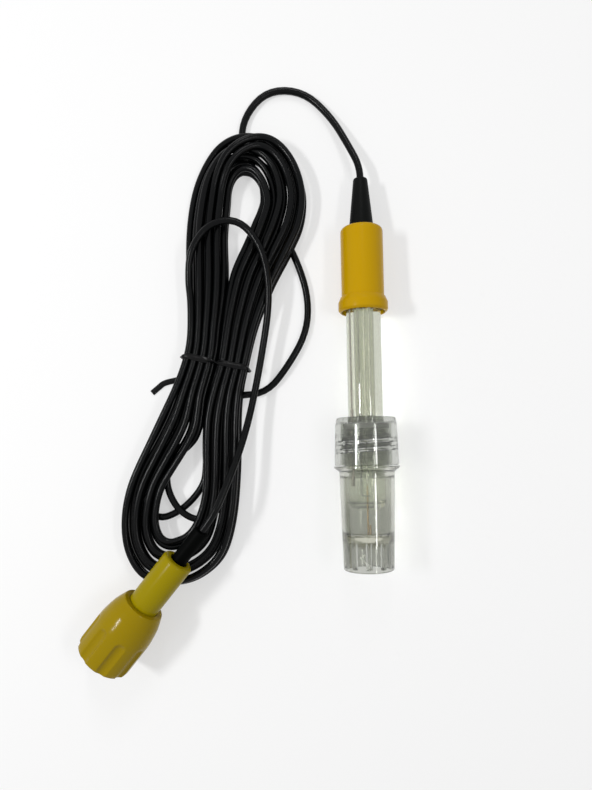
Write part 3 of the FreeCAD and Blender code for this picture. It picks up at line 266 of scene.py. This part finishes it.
def surface(
    name, colour, roughness, metallic=0.0, clear=0.0, index=1.5, shine=0.5,
    grain_scale=1500, grain_depth=0.00002,
):
    """A moulded, drawn or plated surface with a fine grain of its own."""
    material = bpy.data.materials.new(name)
    material.use_nodes = True
    nodes, links = material.node_tree.nodes, material.node_tree.links
    skin = nodes["Principled BSDF"]
    skin.inputs["Base Color"].default_value = (*colour, 1)
    skin.inputs["Roughness"].default_value = roughness
    skin.inputs["Metallic"].default_value = metallic
    skin.inputs["Transmission Weight"].default_value = clear
    skin.inputs["IOR"].default_value = index
    skin.inputs["Specular IOR Level"].default_value = shine
    place = nodes.new("ShaderNodeTexCoord")
    noise = nodes.new("ShaderNodeTexNoise")
    noise.inputs["Scale"].default_value = grain_scale
    noise.inputs["Detail"].default_value = 3
    bump = nodes.new("ShaderNodeBump")
    bump.inputs["Distance"].default_value = grain_depth
    bump.inputs["Strength"].default_value = 0.4
    links.new(place.outputs["Object"], noise.inputs["Vector"])
    links.new(noise.outputs["Fac"], bump.inputs["Height"])
    links.new(bump.outputs["Normal"], skin.inputs["Normal"])
    if clear:
        # light that falls through the clear piece still reaches what lies under it
        path = nodes.new("ShaderNodeLightPath")
        through = nodes.new("ShaderNodeBsdfTransparent")
        through.inputs["Color"].default_value = (*[0.6 + 0.38 * part for part in colour], 1)
        either = nodes.new("ShaderNodeMixShader")
        links.new(path.outputs["Is Shadow Ray"], either.inputs["Fac"])
        links.new(skin.outputs["BSDF"], either.inputs[1])
        links.new(through.outputs["BSDF"], either.inputs[2])
        links.new(either.outputs["Shader"], nodes["Material Output"].inputs["Surface"])
    return material


def dress(node, material):
    """Gives a solid of the frame its material."""
    frame["nodes"][node].data.materials.clear()
    frame["nodes"][node].data.materials.append(material)


# From its loose end on the table it passes under the hank, up its right side and over the front,
# where it's twisted once. The last number of each point is that turn in degrees.
tie_route = [
    (-75.9, -5.5, 0.36, 0), (-73.6, -3.6, 0.36, 0), (-71.1, -1.9, 0.36, 0), (-65.0, -0.4, 0.36, 0),
    (-59.0, 2.4, 0.36, 0), (-52.5, 4.6, 0.36, 0), (-44.0, 3.0, 0.36, 0), (-41.4, 2.4, 0.5, 0),
    (-40.6, 2.2, 1.6, 30), (-40.4, 2.2, 4.2, 60), (-40.7, 2.3, 6.9, 45), (-42.0, 2.6, 7.8, 10),
    (-45.0, 3.2, 8.0, 0), (-48.5, 4.0, 8.0, 10), (-50.6, 4.3, 8.2, 50), (-52.4, 4.7, 8.3, 95),
    (-54.2, 5.2, 8.2, 140), (-56.6, 5.6, 8.0, 175), (-60.0, 6.5, 7.9, 180), (-62.6, 7.1, 7.5, 200),
    (-63.7, 7.2, 6.2, 230), (-63.8, 7.1, 3.6, 230), (-63.4, 7.0, 1.2, 190), (-61.9, 6.6, 0.36, 180),
    (-56.5, 5.6, 0.36, 180),
]
TIE_HALF_WIDTH = 1.05
# Across the strip, as shares of its half width and heights: flat wings and the wire's ridge.
tie_upper_side = [
    (-1, 0), (-0.93, 0.13), (-0.4, 0.14), (-0.22, 0.27), (0, 0.31), (0.22, 0.27), (0.4, 0.14), (0.93, 0.13),
]
tie_section = tie_upper_side + [(-share, -height) for share, height in tie_upper_side]
tie_points = []
stops = [tie_route[0]] + tie_route + [tie_route[-1]]
for four_stops in zip(stops, stops[1:], stops[2:], stops[3:]):
    before, here, there, beyond = (Vector(stop) for stop in four_stops)
    for share in (0, 0.2, 0.4, 0.6, 0.8):
        tie_points.append(
            here + (there - before) * share / 2
            + (before - here * 2.5 + there * 2 - beyond / 2) * share ** 2
            + ((here - there) * 1.5 + (beyond - before) / 2) * share ** 3
        )
tie_vertices, tie_faces = [], []
across = Vector((0, 0, 1)).cross((tie_points[1] - tie_points[0]).to_3d())
ring = len(tie_section)
for number, stop in enumerate(tie_points):
    point_before = tie_points[max(number - 1, 0)]
    point_after = tie_points[min(number + 1, len(tie_points) - 1)]
    ahead = (point_after - point_before).to_3d().normalized()
    across = (across - ahead * across.dot(ahead)).normalized()
    turned_across = Matrix.Rotation(math.radians(stop.w), 3, ahead) @ across
    upright = ahead.cross(turned_across)
    for width, thickness in tie_section:
        edge = stop.to_3d() + turned_across * width * TIE_HALF_WIDTH + upright * thickness
        tie_vertices.append(edge / 1000)
    if number:
        lower = (number - 1) * ring
        upper = number * ring
        for corner in range(ring):
            following = (corner + 1) % ring
            tie_faces.append((lower + corner, lower + following, upper + following, upper + corner))
loose_end = list(range(ring))[::-1]
tucked_end = list(range(len(tie_vertices) - ring, len(tie_vertices)))
tie_faces += [loose_end, tucked_end]
tie_mesh = bpy.data.meshes.new("hank_tie")
tie_mesh.from_pydata(tie_vertices, [], tie_faces)
tie_mesh.validate()
tie_mesh.shade_smooth()
tie_mesh.set_sharp_from_angle(angle=math.radians(40))
tie_mesh.materials.append(surface("black_tie_strip", (0.002, 0.002, 0.0022), 0.3, shine=0.12))
hank_tie = bpy.data.objects.new("hank_tie", tie_mesh)
bpy.context.scene.collection.objects.link(hank_tie)
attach(hank_tie, "electrode")
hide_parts("twist_tie")

# Glass shaft of 12 mm, blown from clear tube with a flat closed tip. A thin glass stem inside
# carries the platinum wire to the tip, and gel with a silver wire fills the room round the stem.
collar_seat = next(mount for mount in frame["record"]["mounts"] if mount["name"] == "collar_seat")
towards_cable = -Vector(collar_seat["axis"])
downwards = towards_cable.cross(Vector((1, 0, 0)))
electrode_place = Matrix((
    (1, 0, 0, 0),
    (0, downwards.y, towards_cable.y, collar_seat["pos_m"][1]),
    (0, downwards.z, towards_cable.z, collar_seat["pos_m"][2]),
    (0, 0, 0, 1),
))


def rounded(profile, rounds, edge, closed):
    """The outline with an arc at every corner, as a moulding or a ground edge has."""
    outline = []
    count = len(profile)
    for number, corner in enumerate(profile):
        corner = Vector(corner)
        before = Vector(profile[number - 1])
        after = Vector(profile[(number + 1) % count])
        radius = rounds.get(number, edge)
        if corner.x < 1e-6 or radius <= 0 or (not closed and number in (0, count - 1)):
            outline.append(tuple(corner))
            continue
        towards = (before - corner).normalized()
        away = (after - corner).normalized()
        half = towards.angle(away) / 2
        if math.degrees(half) > 89:
            outline.append(tuple(corner))
            continue
        reach = min(radius / math.tan(half), 0.48 * (before - corner).length, 0.48 * (after - corner).length)
        radius = reach * math.tan(half)
        centre = corner + (towards + away).normalized() * (radius / math.sin(half))
        first = corner + towards * reach - centre
        last = corner + away * reach - centre
        pieces = max(2, math.ceil((math.pi - 2 * half) / math.radians(16)))
        turn = first.angle_signed(last)
        for step in range(pieces + 1):
            angle = -turn * step / pieces
            outline.append((
                centre.x + first.x * math.cos(angle) - first.y * math.sin(angle),
                centre.y + first.x * math.sin(angle) + first.y * math.cos(angle),
            ))
    return outline


def turned(name, profile, place, body, rounds=(), edge=0.12, steps=96, form=None, row_height=0.25):
    """A piece turned about its axis. Its profile is a list of (radius, station) in millimetres."""
    on_axis = profile[0][0] < 1e-6 and profile[-1][0] < 1e-6
    outline = rounded(profile, dict(rounds), edge, not on_axis)
    if form:
        fine = []
        ring = outline if on_axis else outline + outline[:1]
        for start, end in zip(ring, ring[1:]):
            pieces = max(1, math.ceil(abs(end[1] - start[1]) / row_height))
            for step in range(pieces):
                share = step / pieces
                fine.append((start[0] + (end[0] - start[0]) * share, start[1] + (end[1] - start[1]) * share))
        if on_axis:
            fine.append(ring[-1])
        outline = fine
    vertices, rings, faces = [], [], []
    for radius, station in outline:
        if radius < 1e-6:
            rings.append([len(vertices)])
            vertices.append((0, 0, station))
            continue
        rings.append(list(range(len(vertices), len(vertices) + steps)))
        for step in range(steps):
            angle = 2 * math.pi * step / steps
            reach = form(radius, station, angle) if form else radius
            vertices.append((reach * math.cos(angle), reach * math.sin(angle), station))
    pairs = list(zip(rings, rings[1:])) + ([] if on_axis else [(rings[-1], rings[0])])
    for lower, upper in pairs:
        for step in range(steps):
            following = (step + 1) % steps
            corners = [
                lower[step % len(lower)], lower[following % len(lower)],
                upper[following % len(upper)], upper[step % len(upper)],
            ]
            corners = list(dict.fromkeys(corners))
            if len(corners) > 2:
                faces.append(corners)
    sides = zip(outline, outline[1:] + outline[:1])
    area = sum(here[0] * there[1] - there[0] * here[1] for here, there in sides)
    if area < 0:
        faces = [face[::-1] for face in faces]
    mesh = bpy.data.meshes.new(name)
    mesh.from_pydata([place @ (Vector(vertex) * 0.001) for vertex in vertices], [], faces)
    mesh.validate()
    mesh.shade_smooth()
    mesh.set_sharp_from_angle(angle=math.radians(32))
    piece = bpy.data.objects.new(name, mesh)
    bpy.context.scene.collection.objects.link(piece)
    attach(piece, body)
    return piece


def graded(material, low, high, low_colour, high_colour):
    """Lets the material's colour change along the shaft between two stations, in metres."""
    nodes, links = material.node_tree.nodes, material.node_tree.links
    place = nodes.new("ShaderNodeTexCoord")
    parts = nodes.new("ShaderNodeSeparateXYZ")
    grade = nodes.new("ShaderNodeMapRange")
    grade.inputs["From Min"].default_value = electrode_place.translation.y + low
    grade.inputs["From Max"].default_value = electrode_place.translation.y + high
    tones = nodes.new("ShaderNodeMix")
    tones.data_type = "RGBA"
    tones.inputs[6].default_value = (*low_colour, 1)
    tones.inputs[7].default_value = (*high_colour, 1)
    links.new(place.outputs["Object"], parts.inputs[0])
    links.new(parts.outputs["Y"], grade.inputs["Value"])
    links.new(grade.outputs[0], tones.inputs[0])
    links.new(tones.outputs[2], nodes["Principled BSDF"].inputs["Base Color"])


shaft_glass = surface("clear_shaft_glass", (0.97, 0.98, 0.965), 0.0, clear=1, index=1.47, grain_depth=0)
gel_clear = surface("clear_gel", (0.83, 0.84, 0.775), 0.0, clear=1, index=1.36, grain_depth=0)
glass_shaft = turned(
    "glass_shaft",
    [
        (0.275, -68.0), (6.0, -68.0), (6.0, 1.6), (5.8, 1.6), (5.8, 20.0), (4.9, 20.0), (4.9, -65.7),
        (2.5, -65.7), (2.5, 20.0), (1.7, 20.0), (1.7, -63.5), (0.275, -63.5),
    ],
    electrode_place, "electrode", rounds={1: 4.5, 6: 2.0, 10: 1.2}, edge=0.1, steps=128,
)
glass_shaft.data.materials.append(shaft_glass)
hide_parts("glass_body")

gel = turned(
    "gel_fill", [(2.47, -65.8), (4.95, -65.8), (4.95, 15.0), (2.47, 15.0)],
    electrode_place, "electrode", rounds={1: 2.0}, steps=96,
)
gel.data.materials.append(gel_clear)
graded(gel_clear, -0.046, -0.034, (0.97, 0.975, 0.95), (0.625, 0.63, 0.545))

# the sensing wire is given a golden brown colour
dress("sensing_wire", surface("golden_brown_wire_metal", (0.46, 0.34, 0.2), 0.3, metallic=1))
dress("ceramic_junction", surface("white_ceramic", (0.72, 0.7, 0.64), 0.8, grain_depth=0.00008))
dress(
    "reference_wire",
    surface("chlorided_silver", (0.22, 0.2, 0.18), 0.6, grain_scale=3000, grain_depth=0.00005),
)
dress("stem_lead_wire", surface("tinned_copper", (0.5, 0.49, 0.46), 0.35, metallic=1))

# Yellow cap, a glossy moulding glued over the glass, with a recess round the shaft filled with
# sealant and a black rubber boot that holds the lead where it leaves the top.
cap_yellow = surface(
    "golden_yellow_moulding", (0.5, 0.29, 0.001), 0.2, shine=0.08, grain_scale=600, grain_depth=0.00001,
)
yellow_cap = turned(
    "yellow_cap",
    [
        (7.4, 0), (7.9, 0), (8.6, 0.7), (8.6, 3.4), (7.75, 5.3), (7.4, 5.3), (7.4, 29.7), (3.05, 29.7),
        (3.05, 27.2), (5.85, 27.2), (5.85, 3.0), (7.4, 3.0),
    ],
    electrode_place, "electrode", rounds={2: 0.4, 3: 0.4, 6: 1.5}, edge=0.12, steps=160,
)
yellow_cap.data.materials.append(cap_yellow)
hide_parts("cap")

boot = turned(
    "rubber_boot",
    [
        (1.25, 25.7), (5.0, 25.7), (5.0, 27.2), (3.0, 27.2), (3.0, 29.7), (4.25, 29.7), (4.15, 31.0),
        (2.45, 47.4), (1.3, 47.4),
    ],
    electrode_place, "electrode", rounds={5: 0.3, 7: 0.7}, edge=0.1, steps=96,
)
boot.data.materials.append(surface(
    "matte_black_rubber", (0.002, 0.0025, 0.0023), 0.45, shine=0.06, grain_scale=1800, grain_depth=0.00004,
))
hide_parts("strain_relief")

dress("tube_seal", surface("brown_sealant", (0.1, 0.055, 0.01), 0.5, grain_scale=900, grain_depth=0.0001))
dress("potting_plug", surface("grey_potting", (0.05, 0.05, 0.05), 0.6))

# Storage bottle of clear polystyrene. Its screw cap slides on the shaft over a silicone ring,
# and the vial below holds the storage solution round the tip. Flutes stiffen the vial's foot.
THREAD_PITCH = 2.7
THREAD_TURNS = 2.5
RIDGE_HEIGHT = 0.8
CAP_BORE = 8.75
CAP_THREAD_FOOT = -49.72


def polystyrene(name, colour, index=1.57, grain_depth=0.00001):
    """Clear moulded polystyrene, with a grey tint that paints the shade seen through the thin wall."""
    return surface(name, colour, 0.06, clear=1, index=index, grain_scale=500, grain_depth=grain_depth)


def ridge(station, angle, foot):
    """How far the thread's ridge stands out at this place, from 0 to 1, with tapered ends."""
    height = 0
    for turn in range(3):
        along = angle / (2 * math.pi) + turn
        away = abs(station - foot - THREAD_PITCH * along)
        taper = min(max(min(along, THREAD_TURNS - along) / 0.05, 0), 1)
        height = max(height, min(max((0.65 - away) / 0.35, 0), 1) * taper)
    return height


def cap_form(radius, station, angle):
    """The thread's ridge stands inwards from the screw cap's bore."""
    if abs(radius - CAP_BORE) < 0.05:
        return radius - RIDGE_HEIGHT * ridge(station, angle, CAP_THREAD_FOOT)
    return radius


screw_cap = turned(
    "bottle_screw_cap",
    [
        (6.3, -36.7), (10.1, -36.7), (10.6, -39.5), (11.05, -53.0), (CAP_BORE, -53.0), (CAP_BORE, -38.9),
        (6.3, -38.9),
    ],
    electrode_place, "bottle_cap", rounds={1: 0.5, 3: 0.3}, edge=0.15, steps=128,
    form=cap_form, row_height=0.22,
)
# the screw cap's grey tint is painted shade
screw_cap.data.materials.append(polystyrene("clear_polystyrene", (0.54, 0.555, 0.515)))
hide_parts("bottle_cap")

NECK_RADIUS = 7.75
VIAL_THREAD_FOOT = -48.37
FOOT_RIBS = 10
RIB_RADIUS = 0.9
SKIRT_BORE = 7.6
RIBS_FOOT = -87.3
RIBS_TOP = -78.0


def vial_form(radius, station, angle):
    """The ridge stands out from the neck, and round ribs stand inwards in the hollow foot."""
    if abs(radius - NECK_RADIUS) < 0.05 and station > -49.3:
        return radius + RIDGE_HEIGHT * ridge(station, angle, VIAL_THREAD_FOOT)
    if SKIRT_BORE - 0.1 < radius < SKIRT_BORE + 0.05 and RIBS_FOOT < station < RIBS_TOP:
        pitch = 2 * math.pi / FOOT_RIBS
        around = (angle - math.radians(12)) % pitch
        around = min(around, pitch - around)
        half_chord = RIB_RADIUS ** 2 - (SKIRT_BORE * math.sin(around)) ** 2
        if half_chord > 0:
            rib = SKIRT_BORE * (1 - math.cos(around)) + math.sqrt(half_chord)
            end = min((station - RIBS_FOOT) / RIB_RADIUS, 1)
            return radius - rib * math.sqrt(max(1 - (1 - end) ** 2, 0))
    return radius


vial = turned(
    "bottle_vial",
    [
        (0, -79.6), (2.96, -79.3), (5.55, -78.1), (7.4, -75.8), (7.8, -57.2), (6.75, -55.2), (6.75, -40.62),
        (NECK_RADIUS, -40.62), (NECK_RADIUS, -53.3), (11.25, -53.3), (11.25, -53.9), (9.5, -55.2),
        (8.65, -88.6), (SKIRT_BORE, -88.6), (SKIRT_BORE, -77.8), (5.7, -80.1), (3.04, -81.3), (0, -81.6),
    ],
    electrode_place, "vial",
    rounds={1: 8, 2: 8, 3: 0.8, 4: 2.0, 5: 1.0, 11: 0.8, 12: 0.8, 14: 0.5, 15: 8, 16: 8},
    edge=0.12, steps=160, form=vial_form, row_height=0.3,
)
# the vial's grey tint is painted shade, and the grade below darkens it towards the foot
vial_clear = polystyrene("clear_polystyrene_vial", (0.63, 0.645, 0.61))
graded(vial_clear, -0.069, -0.062, (0.49, 0.5, 0.46), (0.6, 0.61, 0.565))
vial.data.materials.append(vial_clear)
# painted shade: the thread's flanks and the rims bend the light away and look dark, so the flanks get a dark
# tint and the dish's floor a darker yellowish one
painted_shade_flank = polystyrene("clear_polystyrene_painted_shade_flank", (0.08, 0.085, 0.08), grain_depth=0)
painted_shade_dish = polystyrene("clear_polystyrene_painted_shade_dish", (0.56, 0.55, 0.43), index=1.2, grain_depth=0)
threaded_part = (-49.8, -38.5)
dished_part = (-82, -78.2)
for piece in (screw_cap, vial):
    piece.data.materials.append(painted_shade_flank)
    piece.data.materials.append(painted_shade_dish)
    # crosswise faces in the threaded and dished parts take the painted shade tints
    for face in piece.data.polygons:
        station = (electrode_place.inverted() @ face.center).z * 1000
        crosswise = abs(face.normal.dot(towards_cable)) > 0.35
        if crosswise and threaded_part[0] < station < threaded_part[1]:
            face.material_index = 1
        elif crosswise and piece == vial and dished_part[0] < station < dished_part[1]:
            face.material_index = 2
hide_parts("vial")

solution = turned(
    "storage_solution",
    [
        (0, -79.65), (2.96, -79.35), (5.62, -78.2), (7.45, -75.9), (7.84, -57.2), (6.8, -55.2),
        (6.8, -41.2), (5.75, -41.2), (5.75, -67.75), (0, -67.75),
    ],
    electrode_place, "vial", rounds={1: 8, 2: 8, 3: 0.8, 4: 2.0, 5: 1.0, 8: 4.45}, edge=0.1, steps=96,
)
solution.data.materials.append(
    surface("storage_solution", (0.985, 0.985, 0.955), 0.0, clear=1, index=1.06, grain_depth=0)
)

# Small drops of water cling to the inside of the vial's hollow foot, drawn pale and opaque as a painted
# glint.
DROPLETS = 80
DROP_WALL = 7.52
PATCH_MIDDLE = -1.9
PATCH_TOP = -82.3
PATCH_LENGTH = 5.2
drop_mesh = bpy.data.meshes.new("foot_droplets")
drops = bmesh.new()
for number in range(DROPLETS):
    across = 1.5 * math.sin(2.4 * number) * (0.4 + 0.6 * math.sin(1.1 * number) ** 2)
    across += PATCH_MIDDLE
    station = PATCH_TOP - PATCH_LENGTH * ((number * 0.618) % 1)
    size = 0.08 + 0.11 * ((number * 0.37) % 1)
    spot = Vector((across, -math.sqrt(DROP_WALL ** 2 - across ** 2), station)) / 1000
    bmesh.ops.create_icosphere(
        drops, subdivisions=2, radius=size / 1000,
        matrix=electrode_place @ Matrix.Translation(spot) @ Matrix.Diagonal((1, 0.55, 1, 1)),
    )
drops.to_mesh(drop_mesh)
drops.free()
drop_mesh.shade_smooth()
# painted glint: the drops are pale and opaque, not clear
drop_mesh.materials.append(surface("painted_glint_droplets", (0.8, 0.81, 0.77), 0.1, grain_depth=0))
foot_droplets = bpy.data.objects.new("foot_droplets", drop_mesh)
bpy.context.scene.collection.objects.link(foot_droplets)
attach(foot_droplets, "vial")

dress("bottle_seal", surface("clear_silicone", (0.3, 0.3, 0.28), 0.3, clear=0.5, index=1.41))

# Bayonet plug. The nickel ring with its curved slots turns on the plug's body behind a wave
# washer, and a yellow cover is pressed over it. The yellow handle and black sleeve hold the lead.
jack_contact = next(mount for mount in frame["record"]["mounts"] if mount["name"] == "jack_contact")
plug_direction = -Vector(jack_contact["axis"])
CONTACT_TO_MOUTH = 0.00715
plug_mouth = Vector(jack_contact["pos_m"]) - plug_direction * CONTACT_TO_MOUTH
plug_turn = Vector((0, 0, 1)).rotation_difference(plug_direction)
plug_place = Matrix.Translation(plug_mouth) @ plug_turn.to_matrix().to_4x4()

FLUTES = 8
FLUTE_RADIUS = 2.7
FLUTE_PITCH = 11.9
FLUTE_LENGTH = 11.2
FLUTE_EDGE = 0.3


def fluted(radius, station, angle):
    """The grip's outside, with round flutes sunk into it and each one's end closed by a ball."""
    if radius < 8.8 or station > FLUTE_LENGTH + FLUTE_RADIUS:
        return radius
    pitch = 2 * math.pi / FLUTES
    around = (angle - math.radians(22.5)) % pitch
    around = min(around, pitch - around)
    ball = FLUTE_RADIUS ** 2 - max(station - FLUTE_LENGTH, 0) ** 2
    half_chord = ball - (FLUTE_PITCH * math.sin(around)) ** 2
    if half_chord <= 0:
        return radius
    floor_of_flute = FLUTE_PITCH * math.cos(around) - math.sqrt(half_chord)
    blend = min(max(0.5 + 0.5 * (radius - floor_of_flute) / FLUTE_EDGE, 0), 1)
    return radius + (floor_of_flute - radius) * blend - FLUTE_EDGE * blend * (1 - blend)


plug_yellow = surface(
    "olive_yellow_moulding", (0.29, 0.2, 0.001), 0.16, shine=0.09, grain_scale=500, grain_depth=0.00001,
)
plug_cover = turned(
    "plug_cover",
    [
        (8.3, 0), (9.8, 0), (10.1, 1.5), (10.1, 13.6), (9.2, 19.6), (7.4, 24.0), (5.6, 24.0), (5.6, 22.4),
        (5.95, 22.0), (5.95, 16.3), (7.25, 16.3), (7.25, 2.0), (8.3, 2.0),
    ],
    plug_place, "coupling", rounds={1: 0.4, 2: 1.0, 3: 18, 4: 18, 5: 0.5}, edge=0.12, steps=320,
    form=fluted, row_height=0.4,
)
plug_cover.data.materials.append(plug_yellow)
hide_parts("coupling_cover")

plug_handle = turned(
    "plug_handle",
    [
        (4.65, 17.2), (5.5, 17.2), (5.5, 44.0), (3.2, 44.0), (3.2, 43.1), (2.8, 43.1), (2.8, 35.5),
        (3.2, 35.5), (3.2, 20.5), (4.65, 20.5),
    ],
    plug_place, "electrode", rounds={2: 1.6}, edge=0.12, steps=128,
)
plug_handle.data.materials.append(surface(
    "greenish_yellow_moulding", (0.29, 0.225, 0.001), 0.2, shine=0.08, grain_scale=500, grain_depth=0.00001,
))
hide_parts("plug_neck")

plug_sleeve = turned(
    "plug_sleeve", [(1.25, 35.5), (2.75, 35.5), (2.75, 57.0), (1.25, 57.0)],
    plug_place, "electrode", rounds={2: 0.5}, edge=0.1, steps=96,
)
plug_sleeve.data.materials.append(surface(
    "satin_black_sleeve", (0.0008, 0.001, 0.0009), 0.5, shine=0.02, grain_scale=2000, grain_depth=0.00003,
))
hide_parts("relief_sleeve")

bright_nickel = surface("bright_nickel", (0.62, 0.6, 0.56), 0.16, metallic=1)
spring_steel = surface("spring_steel", (0.5, 0.5, 0.5), 0.35, metallic=1)
for name in ("plug_body", "coupling_ring", "crimp_ferrule"):
    dress(name, bright_nickel)
for name in ("wave_washer", "thrust_washer", "retaining_ring"):
    dress(name, spring_steel)
dress("plug_insulator", surface("white_insulator", (0.82, 0.82, 0.8), 0.4))
dress("centre_pin", surface("gold_plated_pin", (0.8, 0.55, 0.2), 0.2, metallic=1))
dress("plug_gasket", surface("red_gasket", (0.3, 0.03, 0.02), 0.5))

# Plain white table in a wide pale room that gives soft light. Three long soft lamps stand over
# its left, right and far side, and draw the highlights on the yellow and the black pieces.


def looked_at(tree):
    """One where the camera looks at it, straight, off a shiny face or through a clear piece."""
    path = tree.nodes.new("ShaderNodeLightPath")
    rays = path.outputs["Is Camera Ray"]
    for kind in ("Is Glossy Ray", "Is Transmission Ray"):
        added = tree.nodes.new("ShaderNodeMath")
        added.operation = "ADD"
        tree.links.new(rays, added.inputs[0])
        tree.links.new(path.outputs[kind], added.inputs[1])
        rays = added.outputs[0]
    return rays


table_mesh = bpy.data.meshes.new("table")
table_mesh.from_pydata([(-0.9, -0.9, 0), (0.9, -0.9, 0), (0.9, 0.9, 0), (-0.9, 0.9, 0)], [], [(0, 1, 2, 3)])
table = bpy.data.objects.new("table", table_mesh)
bpy.context.scene.collection.objects.link(table)
table_white = surface("white_table", (0.9, 0.9, 0.9), 0.9, grain_scale=300, grain_depth=0.00002)
table_mesh.materials.append(table_white)
nodes, links = table_white.node_tree.nodes, table_white.node_tree.links
# what looks at the table sees half of it as plain white, and the shadow stays in the other half
half = nodes.new("ShaderNodeMath")
half.operation = "MULTIPLY"
half.inputs[1].default_value = 0.5
glow = nodes.new("ShaderNodeEmission")
either = nodes.new("ShaderNodeMixShader")
links.new(looked_at(table_white.node_tree), half.inputs[0])
links.new(half.outputs[0], either.inputs["Fac"])
links.new(nodes["Principled BSDF"].outputs["BSDF"], either.inputs[1])
links.new(glow.outputs["Emission"], either.inputs[2])
links.new(either.outputs["Shader"], nodes["Material Output"].inputs["Surface"])

ROOM_LIGHT = 0.4
world = bpy.data.worlds.new("pale_room")
world.use_nodes = True
room = world.node_tree.nodes["Background"]
room.inputs["Color"].default_value = (1, 1, 1, 1)
# the room gives soft light, and what looks at it sees plain white
strength = world.node_tree.nodes.new("ShaderNodeMapRange")
strength.inputs["To Min"].default_value = ROOM_LIGHT
world.node_tree.links.new(looked_at(world.node_tree), strength.inputs["Value"])
world.node_tree.links.new(strength.outputs[0], room.inputs["Strength"])
bpy.context.scene.world = world

# the shaft stands in several clear pieces, and light needs this many bounces to come through
LIGHT_BOUNCES = 40
bpy.context.scene.cycles.max_bounces = LIGHT_BOUNCES
bpy.context.scene.cycles.transmission_bounces = LIGHT_BOUNCES
bpy.context.scene.cycles.transparent_max_bounces = LIGHT_BOUNCES

LAMP_WIDTH = 0.045
for name, spot, power, length in (
    ("left_lamp", (-0.415, 0.03, 0.45), 1.75, 0.13),
    ("right_lamp", (0.24, -0.04, 0.45), 0.45, 0.2),
    ("top_lamp", (-0.02, 0.5, 0.45), 0.7, 0.25),
):
    lamp_data = bpy.data.lights.new(name, "AREA")
    lamp_data.shape = "RECTANGLE"
    lamp_data.size = LAMP_WIDTH
    lamp_data.size_y = length
    lamp_data.energy = power
    lamp = bpy.data.objects.new(name, lamp_data)
    lamp.location = spot
    lamp.rotation_euler = Vector((0, 0, 1)).rotation_difference(Vector(spot)).to_euler()
    bpy.context.scene.collection.objects.link(lamp)

bpy.context.view_layer.update()
